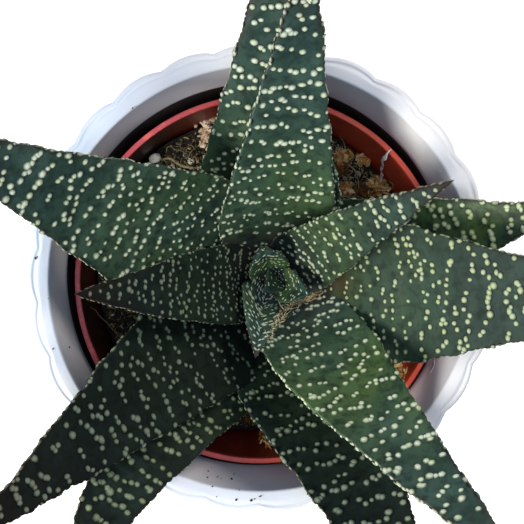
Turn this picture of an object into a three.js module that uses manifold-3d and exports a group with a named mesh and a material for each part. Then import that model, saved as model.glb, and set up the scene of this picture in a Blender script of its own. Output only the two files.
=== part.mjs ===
// Potted haworthia: a spiral rosette of fleshy leaves beaded with small white tubercles,
// rooted in soil in a thin nursery pot that stands inside a white pot with a scalloped lip.
// Millimetres, +Z up. The origin is the centre of the white pot's flat base.

import * as THREE from 'three';
import { mergeVertices } from 'three/addons/utils/BufferGeometryUtils.js';
import Module from 'manifold-3d';

const wasm = await Module();
wasm.setup();

const { degToRad } = THREE.MathUtils;
const UP = new THREE.Vector3(0, 0, 1);

// Gap between neighbouring pieces, and between leaves, where one leaf's tubercles need room.
const GAP = 0.3;
const LEAF_GAP = 1;
const WELD_TOLERANCE = 0.02;

// White pot.
const POT_HEIGHT = 118;
const POT_BASE_RADIUS = 55;
const POT_BASE_ROUNDING = 1.5;
const POT_FLOOR = 6;
const POT_INNER_BASE_RADIUS = 52;
const POT_BAND_HEIGHT = 98;
const POT_BAND_RADIUS = 62.6;
const POT_MOUTH_RADIUS = 66.6;
const LIP_RADIUS = 73;
const LIP_THICKNESS = 3.4;
const LIP_ROOT_RADIUS = 69;
const SCALLOPS = 26;
const SCALLOP_DEPTH = 1.8;
const SCALLOP_CREST_ANGLE = degToRad(-1.7);
const POT_SEGMENTS = SCALLOPS * 4;

// Nursery pot, a little off the white pot's axis.
const NURSERY_CENTRE = new THREE.Vector3(0.2, -1.2, 0);
const NURSERY_BOTTOM = POT_FLOOR + GAP;
const NURSERY_TOP = 103;
const NURSERY_WALL = 1.3;
const NURSERY_BASE_RADIUS = 46.5;
const NURSERY_RIM_RADIUS = 60;
const NURSERY_RIM_WIDTH = 2.6;
const NURSERY_RIM_HEIGHT = 8;
const NURSERY_SEGMENTS = 52;
const DRAIN_HOLES = 6;
const DRAIN_RADIUS = 4;
const DRAIN_CIRCLE = 30;
const DRAIN_SIDES = 8;

// Soil, lowest round the stem and heaped a little towards the nursery pot's wall.
const SOIL_LEVEL = 73;
const SOIL_RISE = 5;
const SOIL_RINGS = 8;
const SOIL_SEGMENTS = 36;

// Stem, with its root crown in the soil.
const STEM_AXIS = new THREE.Vector3(3.5, -1, 0);
const STEM_RADIUS = 6.8;
const STEM_TOP_RADIUS = 2;
const STEM_ROOT_TIP = 42;
const STEM_TOP = 108;
const STEM_SEGMENTS = 14;

// The leaves sit on the stem one above the other, each turned about 140 degrees from the last.
const FIRST_LEAF_HEIGHT = 82;
const LEAF_STEP = 2.3;
const LEAF_SEAT_RADIUS = 6;

// Leaf section: fleshy and keeled below, slightly hollow above, with a blunt margin. The angles
// run round it from one margin over the upper face to the other and back underneath.
const SECTION_ANGLES = [8, 58, 90, 122, 172, 188, 234, 270, 306, 352].map(degToRad);
const MARGIN_HALF_THICKNESS = 1.2;
const MARGIN_BLUNTNESS = 1.01;
const BASE_THINNING = 0.5;
const BASE_THINNING_END = 0.22;
const BELLY = 0.32;
const KEEL = 1.5;
const HOLLOW = 0.1;
const BASE_HOLLOW = 0.12;
const STATION_STEP = 10;
const FEWEST_STATIONS = 6;
const CENTRE_LINE_STEPS = 48;

// Tubercles: pearly ovals that lie across the leaf in staggered rows.
const TUBERCLE_HALF_LENGTH = 1;
const TUBERCLE_HALF_WIDTH = 0.75;
const TUBERCLE_HEIGHT = 0.6;
const TUBERCLE_ROW_STEP = 19;
const TUBERCLE_ACROSS_STEP = 15;
const TUBERCLE_FREE_ENDS = 0.04;
const TUBERCLE_ROOM = 3;

// The leaves from oldest to youngest, in millimetres and degrees. azimuth is the direction from
// the stem, bend the turn towards the tip, rise the slope at the base and at the tip, and roll
// the tilt about the centre line. widest is where the leaf is broadest, as a share of its
// length, taper how full it stays beyond, and clasp its width at the stem as a share of width.
const LEAVES = [
  { azimuth: 16, length: 106, width: 39, rise: [42, 30], widest: 0.25, taper: 1.12 },
  { azimuth: 226, length: 129, width: 43, rise: [38, 33], widest: 0.33, taper: 0.95, bend: 15 },
  { azimuth: 92, length: 124, width: 46, rise: [40, 34], widest: 0.27, taper: 1, roll: -16 },
  { azimuth: 292, length: 134, width: 48, rise: [42, 36], widest: 0.26, taper: 1.05, roll: -4 },
  { azimuth: 155.5, length: 142, width: 47, rise: [42, 38], widest: 0.26, taper: 1, roll: -10 },
  { azimuth: 354, length: 139, width: 47, rise: [44, 38], widest: 0.29, taper: 1, bend: 16, roll: 6 },
  { azimuth: 215.5, length: 139, width: 46, rise: [44, 40], widest: 0.14, taper: 1.1, roll: -12 },
  { azimuth: 88, length: 132, width: 36.5, rise: [48, 44.5], widest: 0.18, taper: 1.07, roll: 7 },
  { azimuth: 304, length: 137, width: 34, rise: [48, 54], widest: 0.26, bend: 14, roll: -24, clasp: 0.9 },
  { azimuth: 181, length: 87, width: 25, rise: [50, 52], widest: 0.16, taper: 1.4, bend: -6, roll: 6 },
  { azimuth: 39, length: 85, width: 21.5, rise: [52, 53], widest: 0.14, taper: 1.28, bend: -6 },
  { azimuth: 246, length: 27, width: 19, rise: [55, 22], widest: 0.2, bend: 16, roll: -8, clasp: 0.4 },
  { azimuth: 130, length: 20, width: 11, rise: [62, 40] },
  { azimuth: 353, length: 16, width: 9, rise: [66, 40] },
  { azimuth: 216, length: 12, width: 6, rise: [80, 70] },
];
const LEAF_DEFAULTS = { widest: 0.28, taper: 1.05, bend: 0, roll: 0, clasp: 0.6 };

// Loose bits on the soil: place round the nursery pot's centre, half sizes and turn.
const SOIL_BITS = [
  { name: 'perlite_grain_1', kind: 'perlite', radius: 50, azimuth: 134, half: [2.1, 1.7, 1.5], turn: 20 },
  { name: 'perlite_grain_2', kind: 'perlite', radius: 42, azimuth: 120, half: [1.4, 1.2, 1.1], turn: 70 },
  { name: 'bark_chip_1', kind: 'bark', radius: 46, azimuth: 52, half: [6, 3.6, 1.8], turn: 35 },
  { name: 'bark_chip_2', kind: 'bark', radius: 47, azimuth: 38, half: [4.5, 3, 1.6], turn: -20 },
  { name: 'bark_chip_3', kind: 'bark', radius: 48, azimuth: 112, half: [4, 2.6, 1.6], turn: 80 },
  { name: 'bark_chip_4', kind: 'bark', radius: 48, azimuth: 270, half: [4.6, 2.8, 1.6], turn: 10 },
];

const MATERIALS = {
  pot: new THREE.MeshStandardMaterial({ color: '#e9ebec', roughness: 0.3, metalness: 0 }),
  nursery: new THREE.MeshStandardMaterial({ color: '#b5442c', roughness: 0.45, metalness: 0 }),
  soil: new THREE.MeshStandardMaterial({ color: '#2a1d14', roughness: 0.95, metalness: 0 }),
  stem: new THREE.MeshStandardMaterial({ color: '#6d6a4c', roughness: 0.8, metalness: 0 }),
  leaf: new THREE.MeshStandardMaterial({ color: '#2f4a35', roughness: 0.5, metalness: 0 }),
  perlite: new THREE.MeshStandardMaterial({ color: '#d9d8d2', roughness: 0.9, metalness: 0 }),
  bark: new THREE.MeshStandardMaterial({ color: '#8a5a32', roughness: 0.85, metalness: 0 }),
};

// Closed index geometry with shared vertices, without the triangles that close up on an axis.
function weld(geometry) {
  geometry.deleteAttribute('normal');
  geometry.deleteAttribute('uv');
  const merged = mergeVertices(geometry, 1e-4);
  const corners = [...merged.index.array];
  const kept = [];
  for (let i = 0; i < corners.length; i += 3) {
    const [a, b, c] = corners.slice(i, i + 3);
    if (a !== b && b !== c && c !== a) kept.push(a, b, c);
  }
  merged.setIndex(kept);
  return merged;
}

function toSolid(geometry) {
  const welded = weld(geometry);
  const triVerts = new Uint32Array(welded.index.array);
  const vertProperties = new Float32Array(welded.attributes.position.array);
  return new wasm.Manifold(new wasm.Mesh({ numProp: 3, vertProperties, triVerts }));
}

function toGeometry(solid) {
  const { vertProperties, triVerts } = solid.getMesh();
  const geometry = new THREE.BufferGeometry();
  geometry.setAttribute('position', new THREE.BufferAttribute(vertProperties, 3));
  geometry.setIndex([...triVerts]);
  return geometry;
}

function largestPiece(solid) {
  const pieces = solid.decompose();
  return pieces.reduce((best, piece) => (piece.volume() > best.volume() ? piece : best));
}

// Solid of revolution about +Z from [radius, height] points that start and end on the axis.
function turned(profile, segments) {
  const points = profile.map(([radius, height]) => new THREE.Vector2(radius, height));
  return new THREE.LatheGeometry(points, segments).rotateX(Math.PI / 2);
}

// White pot.

// Scallop shape round the lip: 0 in the notches, 1 on the crests of the round lobes.
function scallop(angle) {
  return Math.abs(Math.cos(((angle - SCALLOP_CREST_ANGLE) * SCALLOPS) / 2)) ** 0.7;
}

function whitePot() {
  const under = POT_HEIGHT - LIP_THICKNESS;
  const profile = [
    [0, 0],
    [POT_BASE_RADIUS - POT_BASE_ROUNDING, 0],
    [POT_BASE_RADIUS, POT_BASE_ROUNDING],
    [LIP_ROOT_RADIUS - 1, under - 1.6],
    [LIP_ROOT_RADIUS, under - 0.4],
    [LIP_RADIUS - 0.8, under],
    [LIP_RADIUS, under + 0.9],
    [LIP_RADIUS, POT_HEIGHT - 1.2],
    [LIP_RADIUS - 1, POT_HEIGHT - 0.2],
    [POT_MOUTH_RADIUS + 1.4, POT_HEIGHT],
    [POT_MOUTH_RADIUS, POT_HEIGHT - 0.9],
    [POT_BAND_RADIUS, POT_BAND_HEIGHT],
    [POT_INNER_BASE_RADIUS, POT_FLOOR + 2],
    [POT_INNER_BASE_RADIUS - 2, POT_FLOOR],
    [0, POT_FLOOR],
  ];
  const geometry = turned(profile, POT_SEGMENTS).rotateZ(SCALLOP_CREST_ANGLE);
  const points = geometry.attributes.position;
  for (let i = 0; i < points.count; i += 1) {
    const radius = Math.hypot(points.getX(i), points.getY(i));
    const outward = THREE.MathUtils.smoothstep(radius, LIP_ROOT_RADIUS, LIP_RADIUS - 0.8);
    const angle = Math.atan2(points.getY(i), points.getX(i));
    const scale = 1 + (outward * SCALLOP_DEPTH * (scallop(angle) - 0.6)) / LIP_RADIUS;
    points.setXY(i, points.getX(i) * scale, points.getY(i) * scale);
  }
  return weld(geometry);
}

// Nursery pot and soil.

// Inner radius of the nursery pot's wall at a height.
function nurseryInside(height) {
  const top = NURSERY_RIM_RADIUS - NURSERY_RIM_WIDTH;
  const bottom = NURSERY_BASE_RADIUS - NURSERY_WALL;
  return THREE.MathUtils.mapLinear(height, NURSERY_BOTTOM, NURSERY_TOP, bottom, top);
}

function nurseryPot() {
  const floor = NURSERY_BOTTOM + NURSERY_WALL;
  const collar = NURSERY_TOP - NURSERY_RIM_HEIGHT;
  const profile = [
    [0, NURSERY_BOTTOM],
    [NURSERY_BASE_RADIUS - 1, NURSERY_BOTTOM],
    [NURSERY_BASE_RADIUS, NURSERY_BOTTOM + 1],
    [nurseryInside(collar - 1.5) + NURSERY_WALL, collar - 1.5],
    [NURSERY_RIM_RADIUS - 0.8, collar],
    [NURSERY_RIM_RADIUS, NURSERY_TOP - 0.9],
    [NURSERY_RIM_RADIUS - 0.9, NURSERY_TOP],
    [NURSERY_RIM_RADIUS - NURSERY_RIM_WIDTH + 0.9, NURSERY_TOP],
    [nurseryInside(NURSERY_TOP - 0.9), NURSERY_TOP - 0.9],
    [nurseryInside(floor + 1), floor + 1],
    [nurseryInside(floor) - 1, floor],
    [0, floor],
  ];
  let pot = toSolid(turned(profile, NURSERY_SEGMENTS));
  for (let i = 0; i < DRAIN_HOLES; i += 1) {
    const angle = (i / DRAIN_HOLES) * 2 * Math.PI;
    const hole = new THREE.CylinderGeometry(DRAIN_RADIUS, DRAIN_RADIUS, NURSERY_WALL * 4, DRAIN_SIDES);
    hole.rotateX(Math.PI / 2);
    hole.translate(DRAIN_CIRCLE * Math.cos(angle), DRAIN_CIRCLE * Math.sin(angle), floor);
    pot = pot.subtract(toSolid(hole));
  }
  return pot.translate(NURSERY_CENTRE.toArray());
}

// Height of the soil at a place measured from the nursery pot's centre.
function soilHeight(x, y) {
  const out = Math.hypot(x, y) / nurseryInside(SOIL_LEVEL);
  const lumps = Math.sin(x * 0.21 + 1.3) * Math.cos(y * 0.17 - 0.6) + 0.6 * Math.sin(x * 0.43 - y * 0.37);
  return SOIL_LEVEL + SOIL_RISE * out ** 2 + 0.9 * lumps;
}

function soil() {
  const bottom = NURSERY_BOTTOM + NURSERY_WALL + GAP;
  const rim = (height) => nurseryInside(height) - GAP;
  const profile = [[0, bottom], [rim(bottom) - 1.4, bottom], [rim(bottom + 1.4), bottom + 1.4]];
  for (let ring = SOIL_RINGS; ring >= 0; ring -= 1) {
    const share = ring / SOIL_RINGS;
    profile.push([share * rim(SOIL_LEVEL), SOIL_LEVEL + SOIL_RISE * share ** 2]);
  }
  const geometry = turned(profile, SOIL_SEGMENTS);
  const points = geometry.attributes.position;
  for (let i = 0; i < points.count; i += 1) {
    const [x, y, z] = [points.getX(i), points.getY(i), points.getZ(i)];
    if (z > SOIL_LEVEL - 1) {
      const height = soilHeight(x, y);
      const out = Math.hypot(x, y);
      const scale = out > 1 ? Math.min(1, (rim(height) - 0.1) / out) : 1;
      points.setXYZ(i, x * scale, y * scale, height);
    }
  }
  return toSolid(geometry).translate(NURSERY_CENTRE.toArray());
}

// Stem.

function stem(grow = 0) {
  const profile = [
    [0, STEM_ROOT_TIP - grow],
    [1.6 + grow, STEM_ROOT_TIP - grow],
    [STEM_RADIUS - 0.6 + grow, STEM_ROOT_TIP + 18],
    [STEM_RADIUS + grow, FIRST_LEAF_HEIGHT - 4],
    [STEM_RADIUS - 0.8 + grow, FIRST_LEAF_HEIGHT + 6],
    [STEM_TOP_RADIUS + 1.4 + grow, FIRST_LEAF_HEIGHT + 19],
    [STEM_TOP_RADIUS + grow, STEM_TOP + grow],
    [0, STEM_TOP + grow],
  ];
  return toSolid(turned(profile, STEM_SEGMENTS)).translate(STEM_AXIS.toArray());
}

// Leaves.

class Leaf {
  constructor(shape, order) {
    Object.assign(this, LEAF_DEFAULTS, shape);
    this.name = `leaf_${String(order + 1).padStart(2, '0')}`;
    const crowd = 1 - order / (LEAVES.length - 1);
    const angle = degToRad(this.azimuth);
    const seat = LEAF_SEAT_RADIUS * Math.sqrt(crowd);
    const height = Math.min(FIRST_LEAF_HEIGHT + LEAF_STEP * order, STEM_TOP + 2 * GAP);
    this.seat = new THREE.Vector3(seat * Math.cos(angle), seat * Math.sin(angle), height).add(STEM_AXIS);
  }

  // Direction of the centre line at a share s of the length.
  direction(s) {
    const rise = degToRad(THREE.MathUtils.lerp(this.rise[0], this.rise[1], s));
    const turn = degToRad(this.azimuth + this.bend * s);
    return new THREE.Vector3(
      Math.cos(rise) * Math.cos(turn), Math.cos(rise) * Math.sin(turn), Math.sin(rise));
  }

  // Centre line point with the directions along the leaf, across it and out of its upper face.
  frame(s) {
    const steps = Math.max(1, Math.round(s * CENTRE_LINE_STEPS));
    const point = this.seat.clone();
    for (let i = 0; i < steps; i += 1) {
      point.addScaledVector(this.direction(((i + 0.5) * s) / steps), (this.length * s) / steps);
    }
    const along = this.direction(s);
    const across = UP.clone().cross(along).normalize().applyAxisAngle(along, degToRad(this.roll));
    return { point, along, across, out: along.clone().cross(across) };
  }

  halfWidth(s) {
    const rising = this.clasp + (1 - this.clasp) * Math.sin((Math.min(s / this.widest, 1) * Math.PI) / 2);
    const beyond = Math.max((s - this.widest) / (1 - this.widest), 0);
    return (this.width / 2) * (s < this.widest ? rising : 1 - beyond ** this.taper);
  }

  // Point of the skin at a share s of the length and an angle round the section, grown outward.
  skin(s, angle, grow = 0) {
    const { point, across, out } = this.frame(s);
    const half = this.halfWidth(s);
    const side = THREE.MathUtils.clamp(Math.cos(angle) * MARGIN_BLUNTNESS, -1, 1);
    const face = Math.sin(angle);
    const fullness = Math.sqrt(half / (this.width / 2));
    const base = THREE.MathUtils.lerp(BASE_THINNING, 1, Math.min(s / BASE_THINNING_END, 1));
    const rim = Math.min(MARGIN_HALF_THICKNESS, 0.4 * half + 0.2);
    const margin = rim * Math.sign(face) * Math.sqrt(Math.abs(face));
    const hollow = half * (HOLLOW + BASE_HOLLOW * (1 - s) ** 3) * (1 - side * side);
    const belly = (this.width / 2) * BELLY * fullness * base * (1 - Math.abs(side) ** KEEL);
    const level = margin - (face > 0 ? hollow : belly) + grow * Math.sign(Math.round(face * 1e6));
    return point.clone().addScaledVector(across, (half + grow) * side).addScaledVector(out, level);
  }

  // The smooth leaf body: rings of skin points between a cap at the stem and the pointed tip.
  body(grow = 0) {
    const positions = [];
    const sides = SECTION_ANGLES.length;
    const stations = Math.max(FEWEST_STATIONS, Math.round(this.length / STATION_STEP));
    for (let i = 0; i < stations; i += 1) {
      const s = 1 - (1 - i / stations) ** 1.15;
      const back = i === 0 ? grow : 0;
      const { along } = this.frame(s);
      SECTION_ANGLES.forEach((angle) => {
        positions.push(...this.skin(s, angle, grow).addScaledVector(along, -back).toArray());
      });
    }
    const start = this.frame(0);
    const end = this.frame(1);
    positions.push(...start.point.addScaledVector(start.along, -grow).toArray());
    positions.push(...end.point.addScaledVector(end.along, 2 * grow).toArray());
    const base = stations * sides;
    const indices = [];
    for (let j = 0; j < sides; j += 1) {
      const next = (j + 1) % sides;
      indices.push(base, next, j);
      for (let i = 0; i < stations - 1; i += 1) {
        const [a, b] = [i * sides + j, i * sides + next];
        indices.push(a, b, b + sides, a, b + sides, a + sides);
      }
      const last = (stations - 1) * sides;
      indices.push(last + j, last + next, base + 1);
    }
    const geometry = new THREE.BufferGeometry();
    geometry.setAttribute('position', new THREE.Float32BufferAttribute(positions, 3));
    geometry.setIndex(indices);
    return toSolid(geometry);
  }

  // One tubercle, an eight-faced bead half sunk in the skin and longest across the leaf.
  tubercle(s, angle) {
    const centre = this.skin(s, angle);
    const { along } = this.frame(s);
    const round = this.skin(s, angle + 0.05).sub(this.skin(s, angle - 0.05)).normalize();
    const out = along.clone().cross(round).multiplyScalar(-1).normalize();
    const tip = Math.min(1, 0.75 + this.halfWidth(s) / this.width);
    const bead = new THREE.OctahedronGeometry(1);
    bead.applyMatrix4(new THREE.Matrix4().makeBasis(
      round.clone().multiplyScalar(TUBERCLE_HALF_LENGTH * tip),
      along.clone().multiplyScalar(TUBERCLE_HALF_WIDTH * tip),
      out.clone().multiplyScalar(TUBERCLE_HEIGHT)));
    bead.translate(centre.x, centre.y, centre.z);
    return toSolid(bead);
  }

  // Staggered rows of tubercles on both faces and both margins, out to the tip.
  tubercles() {
    const beads = [];
    const rows = Math.round(this.length / TUBERCLE_ROW_STEP);
    for (let row = 0; row < rows; row += 1) {
      const s = TUBERCLE_FREE_ENDS + ((1 - 2 * TUBERCLE_FREE_ENDS) * (row + 0.5)) / rows;
      const half = this.halfWidth(s);
      const inRow = half < TUBERCLE_ROOM ? 0 : Math.ceil((2 * half) / TUBERCLE_ACROSS_STEP);
      for (let i = 0; i < inRow; i += 1) {
        const stagger = inRow > 1 && row % 2 ? 0.25 : -0.25;
        const side = (2 * (i + 0.5 + stagger)) / inRow - 1;
        beads.push(this.tubercle(s, Math.acos(side * 0.86)));
        if (i > 0) beads.push(this.tubercle(s, -Math.acos(side * 0.7)));
      }
      beads.push(this.tubercle(s, row % 2 ? 0 : Math.PI));
    }
    return beads;
  }
}

// Each leaf is cut back where a younger leaf or the stem presses into its base.
function leaves() {
  const rosette = LEAVES.map((shape, order) => new Leaf(shape, order));
  let taken = stem(GAP);
  return rosette.reverse().map((leaf) => {
    const beaded = wasm.Manifold.union([leaf.body(), ...leaf.tubercles()]);
    const solid = largestPiece(beaded.subtract(taken)).simplify(WELD_TOLERANCE);
    taken = taken.add(leaf.body(LEAF_GAP));
    return { name: leaf.name, solid };
  }).reverse();
}

// Perlite grains and bark chips, rough lumps that lie on the soil.
function soilBit({ radius, azimuth, half, turn }, ground) {
  const lump = new THREE.IcosahedronGeometry(1, 0);
  const points = lump.attributes.position;
  for (let i = 0; i < points.count; i += 1) {
    const [x, y, z] = [points.getX(i), points.getY(i), points.getZ(i)];
    const rough = 1 + 0.18 * Math.sin(5 * x + 3 * y + turn) * Math.cos(4 * z - 2 * x);
    points.setXYZ(i, x * rough, y * rough, z * rough);
  }
  const angle = degToRad(azimuth);
  const [x, y] = [radius * Math.cos(angle), radius * Math.sin(angle)];
  lump.scale(...half);
  lump.rotateZ(degToRad(turn));
  lump.translate(x, y, soilHeight(x, y) + half[2] * 0.7);
  return toSolid(lump).translate(NURSERY_CENTRE.toArray()).subtract(ground.translate([0, 0, GAP]));
}

function addPiece(group, name, geometry, material) {
  const mesh = new THREE.Mesh(geometry, material);
  mesh.name = name;
  group.add(mesh);
}

function pottedHaworthia() {
  const group = new THREE.Group();
  const rosette = leaves();
  const ground = soil().subtract(stem(GAP));
  addPiece(group, 'white_pot', whitePot(), MATERIALS.pot);
  addPiece(group, 'nursery_pot', toGeometry(nurseryPot()), MATERIALS.nursery);
  addPiece(group, 'soil', toGeometry(ground), MATERIALS.soil);
  addPiece(group, 'stem', toGeometry(stem()), MATERIALS.stem);
  rosette.forEach(({ name, solid }) => addPiece(group, name, toGeometry(solid), MATERIALS.leaf));
  SOIL_BITS.forEach((bit) => {
    addPiece(group, bit.name, toGeometry(largestPiece(soilBit(bit, ground))), MATERIALS[bit.kind]);
  });
  return group;
}

const group = pottedHaworthia();

export default group;
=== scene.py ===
"""Potted haworthia: a rosette of fleshy leaves beaded with pearly tubercles, in its two pots.

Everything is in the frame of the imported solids, with +Z up and the origin at the centre of the
white pot's foot. Sizes are held in millimetres and are turned to metres when a mesh is made.
Surfaces are worked out as whole arrays: a closed form is a stack of rings, one row of points
per station along it and one column per place round it, with a pole at either end.
"""

import logging
import math
from dataclasses import dataclass, field
from enum import Enum

import bpy
import numpy as np
from mathutils import Matrix, Vector

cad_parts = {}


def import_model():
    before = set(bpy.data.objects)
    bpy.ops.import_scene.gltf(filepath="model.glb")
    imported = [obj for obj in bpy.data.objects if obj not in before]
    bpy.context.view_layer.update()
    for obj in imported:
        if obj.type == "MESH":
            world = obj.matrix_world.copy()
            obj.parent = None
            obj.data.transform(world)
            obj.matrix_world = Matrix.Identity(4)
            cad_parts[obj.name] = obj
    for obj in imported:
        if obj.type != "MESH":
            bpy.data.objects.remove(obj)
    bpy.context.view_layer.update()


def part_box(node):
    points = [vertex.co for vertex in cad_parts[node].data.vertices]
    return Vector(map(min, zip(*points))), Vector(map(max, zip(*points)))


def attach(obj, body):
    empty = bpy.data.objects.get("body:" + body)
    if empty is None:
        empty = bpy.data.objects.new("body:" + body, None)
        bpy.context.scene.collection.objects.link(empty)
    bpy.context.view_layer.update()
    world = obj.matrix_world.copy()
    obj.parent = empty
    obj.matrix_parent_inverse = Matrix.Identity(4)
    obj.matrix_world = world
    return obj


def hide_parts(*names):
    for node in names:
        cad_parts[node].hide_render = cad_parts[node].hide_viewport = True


LOG = logging.getLogger("potted haworthia")
MM = 0.001
BODY = "root"
# Radius of the ring next to a pole on the axis of a turned form.
INNERMOST = 2.0
# Lower and upper pole of a ball of radius 1.
POLES = np.array([[0, 0, -1.0], [0, 0, 1.0]])


class Slot(Enum):
    """Names of the material slots."""

    GLAZE = "white_glaze"
    PLASTIC = "red_plastic"
    SOIL = "soil"
    STEM = "stem"
    LEAF = "leaf"
    PERLITE = "perlite"
    BARK = "bark"


class Face(Enum):
    """Faces of a leaf. The value is the sign of the section angle on that face."""

    UPPER = 1
    UNDER = -1


# Colour, nodes and noise.


def linear(code: str) -> tuple[float, float, float, float]:
    """Turns an sRGB hex value to the linear colour that a shader socket takes.

    Args:
        code: The colour as "#rrggbb".

    Returns:
        Red, green, blue and alpha, with alpha 1.
    """
    parts = np.array([int(code[i:i + 2], 16) for i in (1, 3, 5)]) / 255
    low = parts / 12.92
    high = ((parts + 0.055) / 1.055) ** 2.4
    red, green, blue = np.where(parts <= 0.04045, low, high)
    return float(red), float(green), float(blue), 1.0


def per_metre(size: float) -> float:
    """Texture scale on Object coordinates for a pattern of this size in millimetres."""
    return 1 / (size * MM)


def add_node(tree: bpy.types.NodeTree, kind: str, inputs: dict | None = None,
             **settings: object) -> bpy.types.Node:
    """Adds a node to a tree with its settings, values and links.

    Args:
        tree: The node tree.
        kind: The node's type name.
        inputs: Input name or number to a value, or to the output socket that feeds it.
        settings: The node's own properties.

    Returns:
        The new node.
    """
    node = tree.nodes.new(kind)
    node.location = (-220 * (len(tree.nodes) % 9), -180 * (len(tree.nodes) // 9))
    for name, value in settings.items():
        setattr(node, name, value)
    for name, value in (inputs or {}).items():
        if isinstance(value, bpy.types.NodeSocket):
            tree.links.new(value, node.inputs[name])
        else:
            node.inputs[name].default_value = value
    return node


def waves(points: np.ndarray, size: float, seed: int) -> np.ndarray:
    """Smooth irregular relief: the scaled sum of nine sine waves in seeded directions.

    Args:
        points: Places, with x, y and z last, in millimetres.
        size: Mean wavelength in millimetres.
        seed: Seed of the directions, lengths and phases.

    Returns:
        One value per place, mostly between -1 and 1.
    """
    count = 9
    draw = np.random.default_rng(seed)
    heading = draw.normal(size=(count, 3))
    heading /= np.linalg.norm(heading, axis=1, keepdims=True)
    heading *= 2 * math.pi / size * draw.uniform(0.7, 1.5, (count, 1))
    phase = draw.uniform(0, 2 * math.pi, count)
    return np.sin(points @ heading.T + phase).sum(-1) / math.sqrt(2 * count)


def smooth_step(value: np.ndarray, low: float | np.ndarray,
                high: float | np.ndarray) -> np.ndarray:
    """Rises from 0 at low to 1 at high, level at both ends: 3 share^2 - 2 share^3."""
    share = np.clip((value - low) / (high - low), 0, 1)
    return share * share * (3 - 2 * share)


def distances(points: np.ndarray) -> np.ndarray:
    """Distance of each point from the first, measured along the line through them all."""
    return np.concatenate([[0], np.cumsum(np.linalg.norm(np.diff(points, axis=0), axis=1))])


def between(places: np.ndarray, knots: np.ndarray, values: np.ndarray) -> np.ndarray:
    """Values at places on a line, each column running straight from knot to knot.

    Args:
        places: Places on the line, of any shape.
        knots: Places of the known values, rising.
        values: The known values, one row per knot.

    Returns:
        One row of values for each place.
    """
    return np.stack([np.interp(places, knots, column) for column in values.T], axis=-1)


# Surfaces.


@dataclass
class Surface:
    """Points with faces, and named values per point that a material reads.

    Attributes:
        points: Places in millimetres, one row each.
        faces: Corner numbers, four a row; a triangle repeats its last corner.
        marks: Attribute name to one value per point.
    """

    points: np.ndarray
    faces: np.ndarray
    marks: dict[str, np.ndarray] = field(default_factory=dict)

    def joined(self, other: "Surface") -> "Surface":
        """Puts another surface beside this one, with 0 for marks that one of them lacks.

        Args:
            other: The other surface.

        Returns:
            Both as one surface.
        """
        names = self.marks.keys() | other.marks.keys()
        here, there = np.zeros(len(self.points)), np.zeros(len(other.points))
        return Surface(
            np.vstack([self.points, other.points]),
            np.vstack([self.faces, other.faces + len(self.points)]),
            {n: np.concatenate([self.marks.get(n, here), other.marks.get(n, there)])
             for n in names})

    def triangles(self) -> int:
        """Number of triangles."""
        return int(len(self.faces) * 2 - (self.faces[:, 2] == self.faces[:, 3]).sum())


def closed_forms(rings: np.ndarray, first: np.ndarray, last: np.ndarray) -> Surface:
    """Closes stacks of rings into skins that face outwards.

    Each form's rings are joined to the next with four-sided faces, the first and last columns
    of a ring are neighbours, and both ends close on a pole.

    Args:
        rings: Points of shape (forms, rows, columns, 3); columns turn anticlockwise as seen
            from the last pole.
        first: One pole before the first ring for each form, shape (forms, 3).
        last: One pole after the last ring for each form.

    Returns:
        All the forms as one surface, each form's poles after its rings.
    """
    forms, rows, columns, _ = rings.shape
    points = np.concatenate([rings.reshape(forms, -1, 3), first[:, None], last[:, None]], axis=1)
    row, column = np.meshgrid(np.arange(rows - 1), np.arange(columns), indexing="ij")
    after = (column + 1) % columns
    sides = np.stack([row * columns + column, row * columns + after,
                      (row + 1) * columns + after, (row + 1) * columns + column], axis=-1)
    around = np.arange(columns)
    beyond = (around + 1) % columns
    start = np.full(columns, rows * columns)
    top = (rows - 1) * columns
    opening = np.stack([start, beyond, around, around], axis=-1)
    closing = np.stack([top + around, top + beyond, start + 1, start + 1], axis=-1)
    one = np.vstack([sides.reshape(-1, 4), opening, closing])
    step = rows * columns + 2
    faces = (one[None] + np.arange(forms)[:, None, None] * step).reshape(-1, 4)
    return Surface(points.reshape(-1, 3), faces)


def per_form(values: np.ndarray, grid: tuple[int, int]) -> np.ndarray:
    """Repeats one value per form for each of its points: rows times columns and two poles."""
    return np.repeat(values, grid[0] * grid[1] + 2)


def even_angles(count: int) -> np.ndarray:
    """Angles of this many places, spread evenly once round from 0, in radians."""
    return np.arange(count) / count * 2 * math.pi


def turned(profile: np.ndarray, columns: int) -> np.ndarray:
    """Rings of a solid of revolution about +Z.

    Args:
        profile: Radius and height of each ring, shape (rows, 2).
        columns: Points in a ring.

    Returns:
        Rings of shape (rows, columns, 3).
    """
    angle = even_angles(columns)
    radius, height = profile[:, :1], profile[:, 1:]
    return np.stack([radius * np.cos(angle), radius * np.sin(angle),
                     np.broadcast_to(height, (len(profile), columns))], axis=-1)


def unit_ball(rows: int, columns: int) -> np.ndarray:
    """Rings of a ball of radius 1, from below upwards: radius sin(fall), height -cos(fall)."""
    fall = (np.arange(rows) + 1) / (rows + 1) * math.pi
    return turned(np.stack([np.sin(fall), -np.cos(fall)], axis=-1), columns)


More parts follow.
